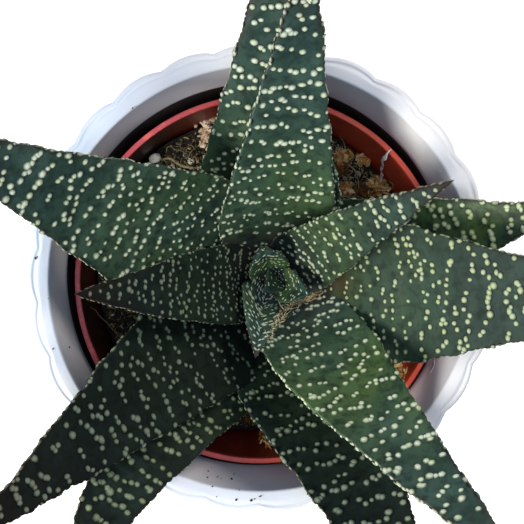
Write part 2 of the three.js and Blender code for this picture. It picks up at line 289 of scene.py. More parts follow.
def rounded(profile: list[tuple[float, float, float]], step: float) -> np.ndarray:
    """Rounds the corners of a profile and fills its long runs with points.

    A corner is replaced by the curve that starts its radius before it, bends towards it and
    ends its radius after it: (1-t)^2 start + 2t(1-t) corner + t^2 end. One more point just
    before and just after the curve keeps the shading of the straight runs even.

    Args:
        profile: Radius, height and rounding of each corner; the ends aren't rounded.
        step: Longest run between two points in millimetres.

    Returns:
        Radius and height of each point, from the first corner to the last.
    """
    # Points on a curve, its largest share of a run, reach of the extra points, least step.
    arc, largest, apart, least = 5, 0.44, 1.12, 0.01
    data = np.array(profile, float)
    place, size = data[:, :2], data[:, 2:]
    run = np.diff(place, axis=0)
    span = np.linalg.norm(run, axis=1, keepdims=True)
    ahead, room = run / span, span * largest
    corner = place[1:-1]
    size = np.minimum(size[1:-1], np.minimum(room[:-1], room[1:]))
    start, end = corner - ahead[:-1] * size, corner + ahead[1:] * size
    t = np.linspace(0, 1, arc)[:, None, None]
    curve = (1 - t) ** 2 * start + 2 * t * (1 - t) * corner + t ** 2 * end
    lead = corner - ahead[:-1] * size * apart
    trail = corner + ahead[1:] * size * apart
    curve = np.concatenate([lead[None], curve, trail[None]]).transpose(1, 0, 2).reshape(-1, 2)
    knots = np.vstack([place[:1], curve, place[-1:]])
    length = distances(knots)
    places = np.union1d(length, np.arange(0, length[-1], step))
    places = places[np.concatenate([[True], np.diff(places) > least])]
    return between(places, length, knots)


def tubes(paths: np.ndarray, radii: np.ndarray, columns: int, flat: float = 1.0) -> Surface:
    """Carries a round or flat section along paths.

    Across each path point stand two directions square to the path, found from one fixed
    direction per path that is another one where the path starts out nearly upright. The ring
    is radius times their cosine and sine mix.

    Args:
        paths: Centre points of shape (forms, rows, 3), poles included.
        radii: Radius at each centre point, shape (forms, rows).
        columns: Points round a section.
        flat: Thickness of the section as a share of its width.

    Returns:
        One closed tube per path.
    """
    along = np.gradient(paths, axis=1)
    along /= np.linalg.norm(along, axis=2, keepdims=True) + 1e-9
    guide = np.where(np.abs(along[:, :1, 2:]) > 0.8, [1.0, 0.2, 0.0], [0.1, 0.2, 1.0])
    side = np.cross(guide, along)
    side /= np.linalg.norm(side, axis=2, keepdims=True)
    up = np.cross(along, side)
    angle = even_angles(columns)
    ring = (side[:, :, None] * np.cos(angle)[:, None]
            + up[:, :, None] * flat * np.sin(angle)[:, None]) * radii[:, :, None, None]
    rings = paths[:, :, None] + ring
    return closed_forms(rings[:, 1:-1], paths[:, 0], paths[:, -1])


def lumps(centres: np.ndarray, sizes: np.ndarray, grid: tuple[int, int], rough: float,
          seed: int, tumble: float = 0.35) -> Surface:
    """Irregular crumbs: balls squashed by three sizes, turned about +Z and tilted, with each
    ring point pushed in or out by a seeded share.

    Args:
        centres: Centre of each crumb, shape (forms, 3).
        sizes: Half sizes of each crumb, shape (forms, 3).
        grid: Rings on a crumb, and points in a ring.
        rough: Largest share by which a point is pushed.
        seed: Seed of the turns and pushes.
        tumble: Spread of the tilts in radians.

    Returns:
        All the crumbs as one surface.
    """
    draw = np.random.default_rng(seed)
    forms = len(centres)
    push = 1 + rough * draw.uniform(-1, 1, (forms, *grid, 1))
    rings = unit_ball(*grid) * push * sizes[:, None, None]
    poles = POLES * sizes[:, None]
    turn, tilt = draw.uniform(0, 2 * math.pi, forms), draw.normal(0, tumble, forms)
    zero, one = np.zeros(forms), np.ones(forms)
    spin = np.array([[np.cos(turn), -np.sin(turn), zero], [np.sin(turn), np.cos(turn), zero],
                     [zero, zero, one]]).transpose(2, 0, 1)
    lean = np.array([[one, zero, zero], [zero, np.cos(tilt), -np.sin(tilt)],
                     [zero, np.sin(tilt), np.cos(tilt)]]).transpose(2, 0, 1)
    pose = spin @ lean
    rings = np.einsum("fij,frcj->frci", pose, rings) + centres[:, None, None]
    poles = np.einsum("fij,fpj->fpi", pose, poles) + centres[:, None]
    return closed_forms(rings, poles[:, 0], poles[:, 1])


# Finishes.


@dataclass(frozen=True)
class Finish:
    """A finish by name, from which a material is made."""

    name: str

    def shade(self, tree: bpy.types.NodeTree, place: bpy.types.NodeSocket) -> dict[str, object]:
        """Adds the finish's own nodes.

        Args:
            tree: The material's node tree.
            place: The piece's own coordinates, in metres.

        Returns:
            Input name of the shader to its value, or to the output socket that feeds it.
        """
        raise NotImplementedError

    def material(self) -> bpy.types.Material:
        """Makes the material: the finish's nodes, the shader that they feed and the output.

        Returns:
            The material.
        """
        material = bpy.data.materials.new(self.name)
        material.use_nodes = True
        tree = material.node_tree
        tree.nodes.clear()
        place = add_node(tree, "ShaderNodeTexCoord").outputs["Object"]
        shader = add_node(tree, "ShaderNodeBsdfPrincipled", self.shade(tree, place))
        add_node(tree, "ShaderNodeOutputMaterial", {"Surface": shader.outputs[0]})
        return material


@dataclass(frozen=True)
class GlazedEarthenware(Finish):
    """Cast earthenware in a thick white gloss glaze: smooth and bright, with a clear coat of
    reflection and a slight unevenness where the glaze flowed. Painted shade turns it bluer
    towards the left side, painted light brightens it inside the mouth, and painted shade
    darkens the inner wall below the band.

    Attributes:
        glaze: Colour of the glaze.
        painted_blue_shade: Its bluer colour under painted shade, towards the left side.
        thick: Its colour under painted light inside the mouth.
        gap_shade_colour: Colour of the painted shade on the inner wall below the band.
        flow: Size of the patches in the glaze.
        ripple: Width of its ripples.
        ripple_depth: Depth of the ripples.
        blue_shade_span: Places along X between which the painted bluish shade comes in.
    """

    name: str = "white glazed earthenware"
    glaze: str = "#e3e6ec"
    painted_blue_shade: str = "#b3c6e0"
    thick: str = "#edf1fa"
    gap_shade_colour: str = "#3a302e"
    flow: float = 26.0
    ripple: float = 3.0
    ripple_depth: float = 0.08
    blue_shade_span: tuple[float, float] = (50.0, -80.0)

    def shade(self, tree: bpy.types.NodeTree, place: bpy.types.NodeSocket) -> dict[str, object]:
        """Adds the glaze with its painted bluish shade, the painted light in the mouth, the
        painted shade below the band, and the ripples.

        Args:
            tree: The material's node tree.
            place: The piece's own coordinates.

        Returns:
            The shader's inputs.
        """
        flow, ripple = (add_node(tree, "ShaderNodeTexNoise", {
            "Vector": place, "Scale": per_metre(size), "Detail": detail}).outputs["Fac"]
            for size, detail in ((self.flow, 3.0), (self.ripple, 2.0)))
        # Painted shade: towards the left side the glaze turns bluer, in patches.
        split = add_node(tree, "ShaderNodeSeparateXYZ", {"Vector": place})
        side = add_node(tree, "ShaderNodeMapRange", {
            "Value": split.outputs["X"], "From Min": self.blue_shade_span[0] * MM,
            "From Max": self.blue_shade_span[1] * MM, "To Max": 1.5})
        run = add_node(tree, "ShaderNodeMath", {
            0: side.outputs["Result"], 1: flow}, operation="MULTIPLY").outputs[0]
        # Painted light brightens the mouth; painted shade darkens the wall below the band.
        painted_mouth_light, painted_gap_shade = (add_node(tree, "ShaderNodeAttribute", attribute_name=name).outputs["Fac"]
                        for name in ("band", "painted_gap_shade"))
        tint = linear(self.glaze)
        for share, colour in ((run, self.painted_blue_shade), (painted_mouth_light, self.thick), (painted_gap_shade, self.gap_shade_colour)):
            tint = add_node(tree, "ShaderNodeMix", {
                "Factor": share, "A": tint, "B": linear(colour)},
                data_type="RGBA").outputs["Result"]
        gloss = add_node(tree, "ShaderNodeMapRange", {
            "Value": flow, "To Min": 0.42, "To Max": 0.6})
        # The ripples break up the reflections.
        bump = add_node(tree, "ShaderNodeBump", {
            "Strength": 0.25, "Distance": self.ripple_depth * MM, "Height": ripple})
        return {"Base Color": tint, "Roughness": gloss.outputs["Result"],
                "Normal": bump.outputs["Normal"], "IOR": 1.48, "Coat Weight": 0.12,
                "Coat Roughness": 0.25}


@dataclass(frozen=True)
class MouldedPolypropylene(Finish):
    """Thin injection moulded polypropylene: a terracotta red with a satin skin, pinker under
    painted shade on the left side, with pale scuffs, and with painted shade in patches on the
    inner wall below the rim, darkest on the left.

    Attributes:
        red: Colour of the plastic.
        painted_rose_shade: Its colour under painted shade on the left side.
        scuffed: Its colour where it is scuffed.
        wall_shade_red: Colour of the lighter painted shade on the inner wall.
        darkest_wall_shade: Colour of the darkest painted shade, on the left side.
        scuff: Size of the scuffs.
        scuff_depth: Their depth.
        wall_shading: Size of the patches of painted shade on the inner wall.
        rose_shade_span: Places along X between which the painted shade turns the red pinker.
        wall_shade_span: Places along X between which the painted shade grows darker.
        wall_shade_heights: Heights between which the painted wall shade starts, from above.
    """

    name: str = "terracotta red polypropylene"
    red: str = "#f55a3c"
    painted_rose_shade: str = "#b4454e"
    scuffed: str = "#e66f5c"
    wall_shade_red: str = "#a32810"
    darkest_wall_shade: str = "#0c0504"
    scuff: float = 3.5
    scuff_depth: float = 0.12
    wall_shading: float = 7.0
    rose_shade_span: tuple[float, float] = (20.0, -30.0)
    wall_shade_span: tuple[float, float] = (20.0, -35.0)
    wall_shade_heights: tuple[float, float] = (102.9, 100.8)

    def shade(self, tree: bpy.types.NodeTree, place: bpy.types.NodeSocket) -> dict[str, object]:
        """Adds the red with its painted shade on the left and its scuffs, and over it the painted
        shade of the inner wall.

        Args:
            tree: The material's node tree.
            place: The piece's own coordinates.

        Returns:
            The shader's inputs.
        """
        # The scuffs and the patches of painted shade are drawn out four times up the wall.
        stretch = add_node(tree, "ShaderNodeMapping", {"Vector": place, "Scale": (1, 1, 0.25)})
        scuff, patch = (add_node(tree, "ShaderNodeTexNoise", {
            "Vector": stretch.outputs["Vector"], "Scale": per_metre(size), "Detail": detail,
            "Roughness": rough}).outputs["Fac"]
            for size, detail, rough in ((self.scuff, 5.0, 0.65), (self.wall_shading, 4.0, 0.5)))
        worn = add_node(tree, "ShaderNodeMapRange", {
            "Value": scuff, "From Min": 0.52, "From Max": 0.78})
        split = add_node(tree, "ShaderNodeSeparateXYZ", {"Vector": place})
        # Painted shade: pinker to the left, and dark on the inner wall below the rim.
        spans = (("X", self.rose_shade_span, 0.0, 1.0), ("X", self.wall_shade_span, 0.0, 0.9),
                 ("X", self.wall_shade_span, 0.6, 1.8), ("Z", self.wall_shade_heights, 0.0, 1.7))
        rose_shading, darker_to_left, thick, depth = (add_node(tree, "ShaderNodeMapRange", {
            "Value": split.outputs[axis], "From Min": start * MM, "From Max": end * MM,
            "To Min": least, "To Max": most}).outputs["Result"]
            for axis, (start, end), least, most in spans)
        wall_shade_colour = add_node(tree, "ShaderNodeMix", {
            "Factor": darker_to_left, "A": linear(self.wall_shade_red), "B": linear(self.darkest_wall_shade)},
            data_type="RGBA").outputs["Result"]
        # The painted shade is as strong as its height, its side and its patches let it be.
        wall_shading = depth
        for share in (thick, patch):
            wall_shading = add_node(tree, "ShaderNodeMath", {
                0: wall_shading, 1: share}, operation="MULTIPLY").outputs[0]
        tint = linear(self.red)
        layers = ((rose_shading, linear(self.painted_rose_shade)), (worn.outputs["Result"], linear(self.scuffed)),
                  (wall_shading, wall_shade_colour))
        for share, colour in layers:
            tint = add_node(tree, "ShaderNodeMix", {
                "Factor": share, "A": tint, "B": colour}, data_type="RGBA").outputs["Result"]
        rough = add_node(tree, "ShaderNodeMapRange", {
            "Value": scuff, "To Min": 0.34, "To Max": 0.6})
        bump = add_node(tree, "ShaderNodeBump", {
            "Strength": 0.3, "Distance": self.scuff_depth * MM, "Height": scuff})
        return {"Base Color": tint, "Roughness": rough.outputs["Result"],
                "Normal": bump.outputs["Normal"], "IOR": 1.49}


@dataclass(frozen=True)
class LeafCuticle(Finish):
    """A fleshy leaf under its waxy cuticle: dark green with a soft sheen, brighter by painted
    light on its sunlit part and darker by painted shade on a shaded leaf, purplish brown at the
    base and dried brown at the tip. The tubercles are pearly white and a little glossier than the
    skin round them.

    Attributes:
        deep: Darker colour of the tissue.
        green: Its lighter colour, in a broad drift.
        bluish: Colour of the wax over the skin's cells.
        blotched: Colour of the blotches between the tubercles.
        sunlit: Colour of the painted light on its sunlit part.
        base: Colour at the base.
        tip: Colour of the dried tip.
        margin: Colour of the margin.
        pearl: Colour of a pearly tubercle.
        jade: Colour of a yellower one.
        stain: Colour of the brown stain.
        shaded: What the tissue is multiplied by under its painted shade.
        weathered: What the tubercles are multiplied by under the painted shade.
        scab: Colour of a dried tubercle.
        drift: Size of the broad drift.
        cell: Size of the mottling of the skin's cells, drawn coarser than it is.
        cell_depth: Its depth.
        blotch: Size of the blotches.
    """

    name: str = "waxy leaf cuticle"
    deep: str = "#223a33"
    green: str = "#39544a"
    bluish: str = "#40565b"
    blotched: str = "#1c2b27"
    sunlit: str = "#5b7635"
    base: str = "#3a3035"
    tip: str = "#342d29"
    margin: str = "#7f9380"
    pearl: str = "#cdd9cc"
    jade: str = "#c2d19c"
    stain: str = "#4c3a14"
    shaded: str = "#1c322a"
    weathered: str = "#76827a"
    scab: str = "#7d7668"
    drift: float = 18.0
    cell: float = 1.4
    cell_depth: float = 0.15
    blotch: float = 3.2

    def shade(self, tree: bpy.types.NodeTree, place: bpy.types.NodeSocket) -> dict[str, object]:
        """Adds the tissue's layers, the tubercles over them and the ageing of both.

        Args:
            tree: The material's node tree.
            place: The piece's own coordinates.

        Returns:
            The shader's inputs.
        """
        marks = {name: add_node(tree, "ShaderNodeAttribute", attribute_name=name).outputs["Fac"]
                 for name in ("pearl", "bead", "glow", "base", "tip", "margin", "shade",
                              "dried", "stain")}
        drift, cells, spots = (add_node(tree, "ShaderNodeTexNoise", {
            "Vector": place, "Scale": per_metre(size), "Detail": detail,
            "Roughness": rough}).outputs["Fac"]
            for size, detail, rough in ((self.drift, 3.0, 0.5), (self.cell, 4.0, 0.6),
                                        (self.blotch, 3.0, 0.6)))
        broad = add_node(tree, "ShaderNodeMapRange", {
            "Value": drift, "From Min": 0.36, "From Max": 0.64}, interpolation_type="SMOOTHSTEP")
        fine, blotch = (add_node(tree, "ShaderNodeMapRange", {
            "Value": noise, "From Min": low, "From Max": high, "To Max": most}).outputs["Result"]
            for noise, low, high, most in ((cells, 0.35, 0.72, 0.42), (spots, 0.46, 0.66, 0.7)))
        skin = linear(self.deep)
        # The glow mark is painted light on the sunlit part.
        layers = ((broad.outputs["Result"], self.green), (fine, self.bluish),
                  (marks["glow"], self.sunlit), (blotch, self.blotched),
                  (marks["base"], self.base), (marks["tip"], self.tip),
                  (marks["stain"], self.stain), (marks["margin"], self.margin))
        for share, colour in layers:
            skin = add_node(tree, "ShaderNodeMix", {
                "Factor": share, "A": skin, "B": linear(colour)},
                data_type="RGBA").outputs["Result"]
        bead = add_node(tree, "ShaderNodeMix", {
            "Factor": marks["bead"], "A": linear(self.pearl), "B": linear(self.jade)},
            data_type="RGBA").outputs["Result"]
        # Painted shade: a shaded leaf's tissue is darker, and its tubercles are greyer by less.
        skin, bead = (add_node(tree, "ShaderNodeMix", {
            "Factor": marks["shade"], "A": unshaded, "B": linear(shade_factor)},
            data_type="RGBA", blend_type="MULTIPLY").outputs["Result"]
            for unshaded, shade_factor in ((skin, self.shaded), (bead, self.weathered)))
        bead = add_node(tree, "ShaderNodeMix", {
            "Factor": marks["dried"], "A": bead, "B": linear(self.scab)},
            data_type="RGBA").outputs["Result"]
        edge = add_node(tree, "ShaderNodeMapRange", {
            "Value": marks["pearl"], "From Min": 0.05, "From Max": 1.0},
            interpolation_type="SMOOTHSTEP")
        tint = add_node(tree, "ShaderNodeMix", {
            "Factor": edge.outputs["Result"], "A": skin, "B": bead}, data_type="RGBA")
        gloss = add_node(tree, "ShaderNodeMapRange", {
            "Value": marks["pearl"], "To Min": 0.46, "To Max": 0.34})
        # Where the tissue has painted shade, the wax is duller too.
        dull = add_node(tree, "ShaderNodeMath", {
            0: marks["shade"], 1: 0.35, 2: gloss.outputs["Result"]}, operation="MULTIPLY_ADD")
        bump = add_node(tree, "ShaderNodeBump", {
            "Strength": 0.35, "Distance": self.cell_depth * MM, "Height": cells})
        return {"Base Color": tint.outputs["Result"], "Roughness": dull.outputs[0],
                "Normal": bump.outputs["Normal"], "IOR": 1.45, "Specular IOR Level": 0.18}


@dataclass(frozen=True)
class GranularMatter(Finish):
    """Matt, broken plant or mineral matter: two colours in patches of grain size, in low
    relief, with a tone mark that turns single grains to a third colour.

    Attributes:
        dark: Colour of one half of the patches.
        light: Colour of the other half.
        accent: Colour of a grain whose tone is 1.
        grain: Size of the patches.
        depth: Depth of the relief.
        roughness: The shader's roughness.
    """

    dark: str
    light: str
    accent: str
    grain: float
    depth: float
    roughness: float = 0.9

    def shade(self, tree: bpy.types.NodeTree, place: bpy.types.NodeSocket) -> dict[str, object]:
        """Adds the patches, the tone and the relief.

        Args:
            tree: The material's node tree.
            place: The piece's own coordinates.

        Returns:
            The shader's inputs.
        """
        patch = add_node(tree, "ShaderNodeTexNoise", {
            "Vector": place, "Scale": per_metre(self.grain), "Detail": 6.0,
            "Roughness": 0.7}).outputs["Fac"]
        parted = add_node(tree, "ShaderNodeMapRange", {
            "Value": patch, "From Min": 0.38, "From Max": 0.66})
        tone = add_node(tree, "ShaderNodeAttribute", attribute_name="tone")
        tint = linear(self.dark)
        for share, colour in ((parted.outputs["Result"], self.light),
                              (tone.outputs["Fac"], self.accent)):
            tint = add_node(tree, "ShaderNodeMix", {
                "Factor": share, "A": tint, "B": linear(colour)},
                data_type="RGBA").outputs["Result"]
        bump = add_node(tree, "ShaderNodeBump", {
            "Strength": 0.7, "Distance": self.depth * MM, "Height": patch})
        return {"Base Color": tint, "Roughness": self.roughness, "IOR": 1.5,
                "Normal": bump.outputs["Normal"]}


@dataclass(frozen=True)
class StudioPaper(Finish):
    """Seamless matt paper, almost white, with a faint drift in its pulp.

    Attributes:
        white: Colour of the paper.
        pulp: Its greyer colour in the drift.
        drift: Size of the drift.
        own_light: Strength of its own light.
    """

    name: str = "pale studio paper"
    white: str = "#f7f7f6"
    pulp: str = "#f3f3f2"
    drift: float = 40.0
    own_light: float = 0.4

    def shade(self, tree: bpy.types.NodeTree, place: bpy.types.NodeSocket) -> dict[str, object]:
        """Adds the drift, and the light that keeps the sheet even where lamps fall off.

        Args:
            tree: The material's node tree.
            place: The piece's own coordinates.

        Returns:
            The shader's inputs.
        """
        drift = add_node(tree, "ShaderNodeTexNoise", {
            "Vector": place, "Scale": per_metre(self.drift)})
        tint = add_node(tree, "ShaderNodeMix", {
            "Factor": drift.outputs["Fac"], "A": linear(self.white), "B": linear(self.pulp)},
            data_type="RGBA")
        return {"Base Color": tint.outputs["Result"], "Roughness": 0.9, "IOR": 1.5,
                "Emission Color": linear(self.white), "Emission Strength": self.own_light}


# Making a piece.


class Bench:
    """Turns surfaces into pieces, and keeps one material per finish and the tally."""

    def __init__(self) -> None:
        """Starts with no materials and an empty tally."""
        self.materials: dict[str, bpy.types.Material] = {}
        self.tally = 0

    def dress(self, finish: Finish) -> bpy.types.Material:
        """Gives the finish's material, made once.

        Args:
            finish: The finish.

        Returns:
            Its material.
        """
        if finish.name not in self.materials:
            self.materials[finish.name] = finish.material()
        return self.materials[finish.name]

    def piece(self, name: str, surface: Surface, finish: Finish,
              stands_for: tuple[str, ...] = (), smooth: bool = True) -> bpy.types.Object:
        """Makes an object from a surface and puts it on the plant's one body.

        Args:
            name: The piece's name.
            surface: Its surface, in millimetres.
            finish: Its finish.
            stands_for: Nodes of the frame that it replaces.
            smooth: Whether its faces are shaded smooth.

        Returns:
            The new object.
        """
        mesh = bpy.data.meshes.new(name)
        corners = np.where(surface.faces[:, 2] == surface.faces[:, 3], 3, 4)
        starts = np.concatenate([[0], np.cumsum(corners)[:-1]])
        keep = np.ones(surface.faces.shape, bool)
        keep[:, 3] = corners == 4
        loops = surface.faces[keep]
        mesh.vertices.add(len(surface.points))
        mesh.vertices.foreach_set("co", (surface.points * MM).astype(np.float32).ravel())
        mesh.loops.add(len(loops))
        mesh.loops.foreach_set("vertex_index", loops.astype(np.int32))
        mesh.polygons.add(len(corners))
        mesh.polygons.foreach_set("loop_start", starts.astype(np.int32))
        mesh.update(calc_edges=True)
        for mark, values in surface.marks.items():
            data = mesh.attributes.new(mark, "FLOAT", "POINT").data
            data.foreach_set("value", values.astype(np.float32))
        mesh.polygons.foreach_set("use_smooth", np.full(len(corners), smooth))
        mesh.materials.append(self.dress(finish))
        thing = bpy.data.objects.new(name, mesh)
        bpy.context.scene.collection.objects.link(thing)
        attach(thing, BODY)
        if stands_for:
            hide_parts(*stands_for)
        self.tally += surface.triangles()
        LOG.info("%s: %d triangles", name, surface.triangles())
        return thing


# The white pot.


@dataclass
class WhitePot:
    """Glazed pot with a flat lip whose outer edge has soft scallops.

    The wall is a turned profile; from the lip's root outwards every radius is scaled by the
    scallop curve |cos(13 (angle - crest))|^0.7, so the edge is a ring of round lobes.
    """

    height: float = 118.0
    lip_radius: float = 73.0
    lip_root: float = 69.0
    lip_thickness: float = 3.4
    mouth_radius: float = 66.6
    band_radius: float = 62.6
    band_height: float = 98.0
    base_radius: float = 55.0
    inner_base_radius: float = 52.0
    floor: float = 6.0
    scallops: int = 26
    scallop_depth: float = 1.7
    crest_angle: float = -1.7
    droop: float = 0.35
    # Strength of the painted shade on the inner wall below the band.
    gap_shade_strength: float = 0.97
    columns: int = 260
    # Inner edge, outer edge and depth of the groove in the foot.
    groove: tuple[float, float, float] = (46.0, 51.5, 0.9)
    # Specks of soil that lie close together, those strewn all round, and where the first lie.
    heaped: int = 16
    strewn: int = 10
    heap_angle: float = 258.0

    def profile(self) -> np.ndarray:
        """Radius and height from the foot's centre, up outside, over the lip and down inside.

        Returns:
            One row per point.
        """
        top, under = self.height, self.height - self.lip_thickness
        inner, outer, deep = self.groove
        return rounded([
            (INNERMOST, 0.0, 0), (inner, 0.0, 1.0), (inner + 1, deep, 0.5),
            (outer - 1, deep, 0.5), (outer, 0.0, 0.8), (self.base_radius - 0.6, 0.0, 0.8),
            (self.base_radius, 1.6, 0.9),
            (self.lip_root - 0.9, under - 1.2, 1.6),
            (self.lip_radius - 0.5, under + 0.1, 0.9),
            (self.lip_radius, under + 1.5, 0.7),
            (self.lip_radius - 0.4, top - 0.9, 0.5),
            (self.lip_radius - 1.3, top - 0.35, 0.4),
            (self.lip_radius - 2.1, top - 0.8, 0.5),
            (self.lip_radius - 3.1, top - 0.25, 0.7),
            (self.mouth_radius + 1.6, top - 0.6, 0.6),
            (self.mouth_radius + 0.1, top - 0.9, 0.9),
            (self.band_radius + 0.1, self.band_height + 0.4, 1.0),
            (self.inner_base_radius, self.floor + 2.2, 1.8),
            (self.inner_base_radius - 2.5, self.floor, 1.5), (INNERMOST, self.floor, 0)], 9.0)

    def surface(self) -> Surface:
        """The pot's skin: scalloped, and with its lip a little out of round.

        Returns:
            The closed skin, with its marks.
        """
        rings = turned(self.profile(), self.columns)
        radius = np.hypot(rings[..., 0], rings[..., 1])
        angle = np.arctan2(rings[..., 1], rings[..., 0])
        lobe = np.abs(np.cos((angle - math.radians(self.crest_angle)) * self.scallops / 2)) ** 0.7
        outward = smooth_step(radius, self.lip_root - 1, self.lip_radius - 1.2)
        wobble = 0.15 * np.sin(3 * angle + 0.7) + 0.1 * np.sin(5 * angle + 2.1)
        scale = 1 + outward * (self.scallop_depth * (lobe - 0.6) + wobble) / self.lip_radius
        high = smooth_step(rings[..., 2], self.height - 3, self.height - 1)
        rings[..., :2] *= scale[..., None]
        # The lobes droop a little at their crests, so the edge catches the light unevenly.
        rings[..., 2] -= outward * high * self.droop * lobe
        form = closed_forms(rings[None], np.array([[0, 0, 0.0]]), np.array([[0, 0, self.floor]]))
        # Painted shade: the inner wall below the band, down in the gap between the pots, is dark.
        inner = np.repeat(np.arange(len(rings)) > np.argmax(rings[:, 0, 2]), self.columns)
        deep = 1 - smooth_step(rings[..., 2].ravel(), self.band_height - 0.6,
                               self.band_height + 0.5)
        form.marks["painted_gap_shade"] = np.append(self.gap_shade_strength * inner * deep, [0, self.gap_shade_strength])
        # Painted light: the inside of the mouth, from just under the lip down, is painted
        # brighter.
        painted_mouth_light = smooth_step(rings[..., 2].ravel(), self.height - 0.4, self.height - 2.5)
        form.marks["band"] = np.append(inner * painted_mouth_light, [0, 0])
        return form

    def specks(self) -> Surface:
        """Specks of soil that fell on the lip and on the band inside the mouth.

        Returns:
            The specks, with their tones.
        """
        draw = np.random.default_rng(11)
        count, grid = self.heaped + self.strewn, (4, 7)
        angle = np.radians(np.concatenate([draw.normal(self.heap_angle, 7, self.heaped),
                                           draw.uniform(0, 360, self.strewn)]))
        least = self.band_radius + 1
        radius = np.concatenate([draw.uniform(least, self.lip_root + 1.5, self.heaped),
                                 draw.uniform(least, self.lip_root + 2, self.strewn)])
        band = (radius - self.band_radius) / (self.mouth_radius - self.band_radius)
        height = self.band_height + 1.2 + (self.height - self.band_height - 1.5) * band
        height = np.minimum(height, self.height - 0.35)
        size = draw.uniform(0.16, 0.5, (count, 1)) * draw.uniform(0.6, 1.3, (count, 3))
        centres = np.stack([radius * np.cos(angle), radius * np.sin(angle), height], axis=-1)
        specks = lumps(centres, size, grid, 0.2, 12)
        specks.marks["tone"] = per_form(draw.uniform(0, 0.3, count), grid)
        return specks

    def build(self, bench: Bench) -> None:
        """Makes the pot and the specks of soil that lie on it.

        Args:
            bench: Where the pieces are made.
        """
        bench.piece("white_pot_glazed", self.surface(), GlazedEarthenware(),
                    ("white_pot",))
        dirt = GranularMatter("specks of dry peat", "#0f0b0a", "#2a1d17", "#4a3628", 0.6, 0.1)
        bench.piece("spilt_soil_specks", self.specks(), dirt)


# The nursery pot.


@dataclass
class NurseryPot:
    """Thin moulded pot with a broader rim, a tapered wall and drain holes in its floor."""

    centre: tuple[float, float] = (0.2, -1.2)
    bottom: float = 6.3
    top: float = 103.0
    wall: float = 1.3
    base_radius: float = 46.5
    rim_radius: float = 60.0
    rim_width: float = 2.6
    rim_height: float = 8.0
    columns: int = 220
    drain_radius: float = 4.0
    drain_circle: float = 30.0
    drain_holes: int = 6
    out_of_round: float = 0.0012

    def inside(self, height: float | np.ndarray) -> float | np.ndarray:
        """Inner radius of the wall at a height: a straight taper."""
        low, high = self.base_radius - self.wall, self.rim_radius - self.rim_width
        return low + (high - low) * (height - self.bottom) / (self.top - self.bottom)

    def profile(self) -> np.ndarray:
        """Radius and height from the foot's centre, up outside, over the rim and down inside.

        Returns:
            One row per point.
        """
        floor, collar = self.bottom + self.wall, self.top - self.rim_height
        below = collar - 1.5
        return rounded([
            (INNERMOST, self.bottom, 0), (self.base_radius - 0.2, self.bottom, 1.0),
            (self.inside(below) + self.wall, below, 0.4), (self.rim_radius - 0.8, collar, 0.4),
            (self.rim_radius, self.top, 0.5), (self.inside(self.top) + 0.85, self.top, 0.3),
            (self.inside(floor), floor, 1.2), (INNERMOST, floor, 0)], 5.0)

    def surface(self) -> Surface:
        """The pot's skin, its rim a touch out of round as thin pots are.

        Returns:
            The closed skin, without its holes.
        """
        rings = turned(self.profile(), self.columns)
        angle = np.arctan2(rings[..., 1], rings[..., 0])
        high = smooth_step(rings[..., 2], 80, self.top)
        rings[..., :2] *= (1 + high * self.out_of_round * np.sin(2 * angle + 0.9))[..., None]
        rings[..., :2] += self.centre
        poles = np.array([[*self.centre, self.bottom], [*self.centre, self.bottom + self.wall]])
        return closed_forms(rings[None], poles[:1], poles[1:])

    def drill(self, pot: bpy.types.Object) -> None:
        """Cuts the drain holes through the floor with one set of upright round cutters, each
        8 mm long about the floor's middle.

        Args:
            pot: The pot's object, which gets a new mesh.
        """
        angle = even_angles(self.drain_holes)
        middle = np.stack([self.centre[0] + self.drain_circle * np.cos(angle),
                           self.centre[1] + self.drain_circle * np.sin(angle),
                           np.full(self.drain_holes, self.bottom + self.wall / 2)], axis=-1)
        paths = middle[:, None] + np.linspace(-4, 4, 4)[:, None] * [0, 0, 1]
        cutters = tubes(paths, np.full(paths.shape[:2], self.drain_radius), 24)
        mesh = bpy.data.meshes.new("drain_cutters")
        mesh.from_pydata((cutters.points * MM).tolist(), [],
                         [list(dict.fromkeys(face)) for face in cutters.faces.tolist()])
        tool = bpy.data.objects.new("drain_cutters", mesh)
        bpy.context.scene.collection.objects.link(tool)
        cut = pot.modifiers.new("drain holes", "BOOLEAN")
        cut.object, cut.operation, cut.solver = tool, "DIFFERENCE", "EXACT"
        bpy.context.view_layer.update()
        ready = pot.evaluated_get(bpy.context.evaluated_depsgraph_get())
        holed = bpy.data.meshes.new_from_object(ready)
        pot.modifiers.clear()
        pot.data = holed
        bpy.data.objects.remove(tool)

    def build(self, bench: Bench) -> None:
        """Makes the pot with its holes.

        Args:
            bench: Where the pieces are made.
        """
        pot = bench.piece("nursery_pot_moulded", self.surface(), MouldedPolypropylene(),
                          ("nursery_pot",))
        self.drill(pot)


# Soil and what lies on it.


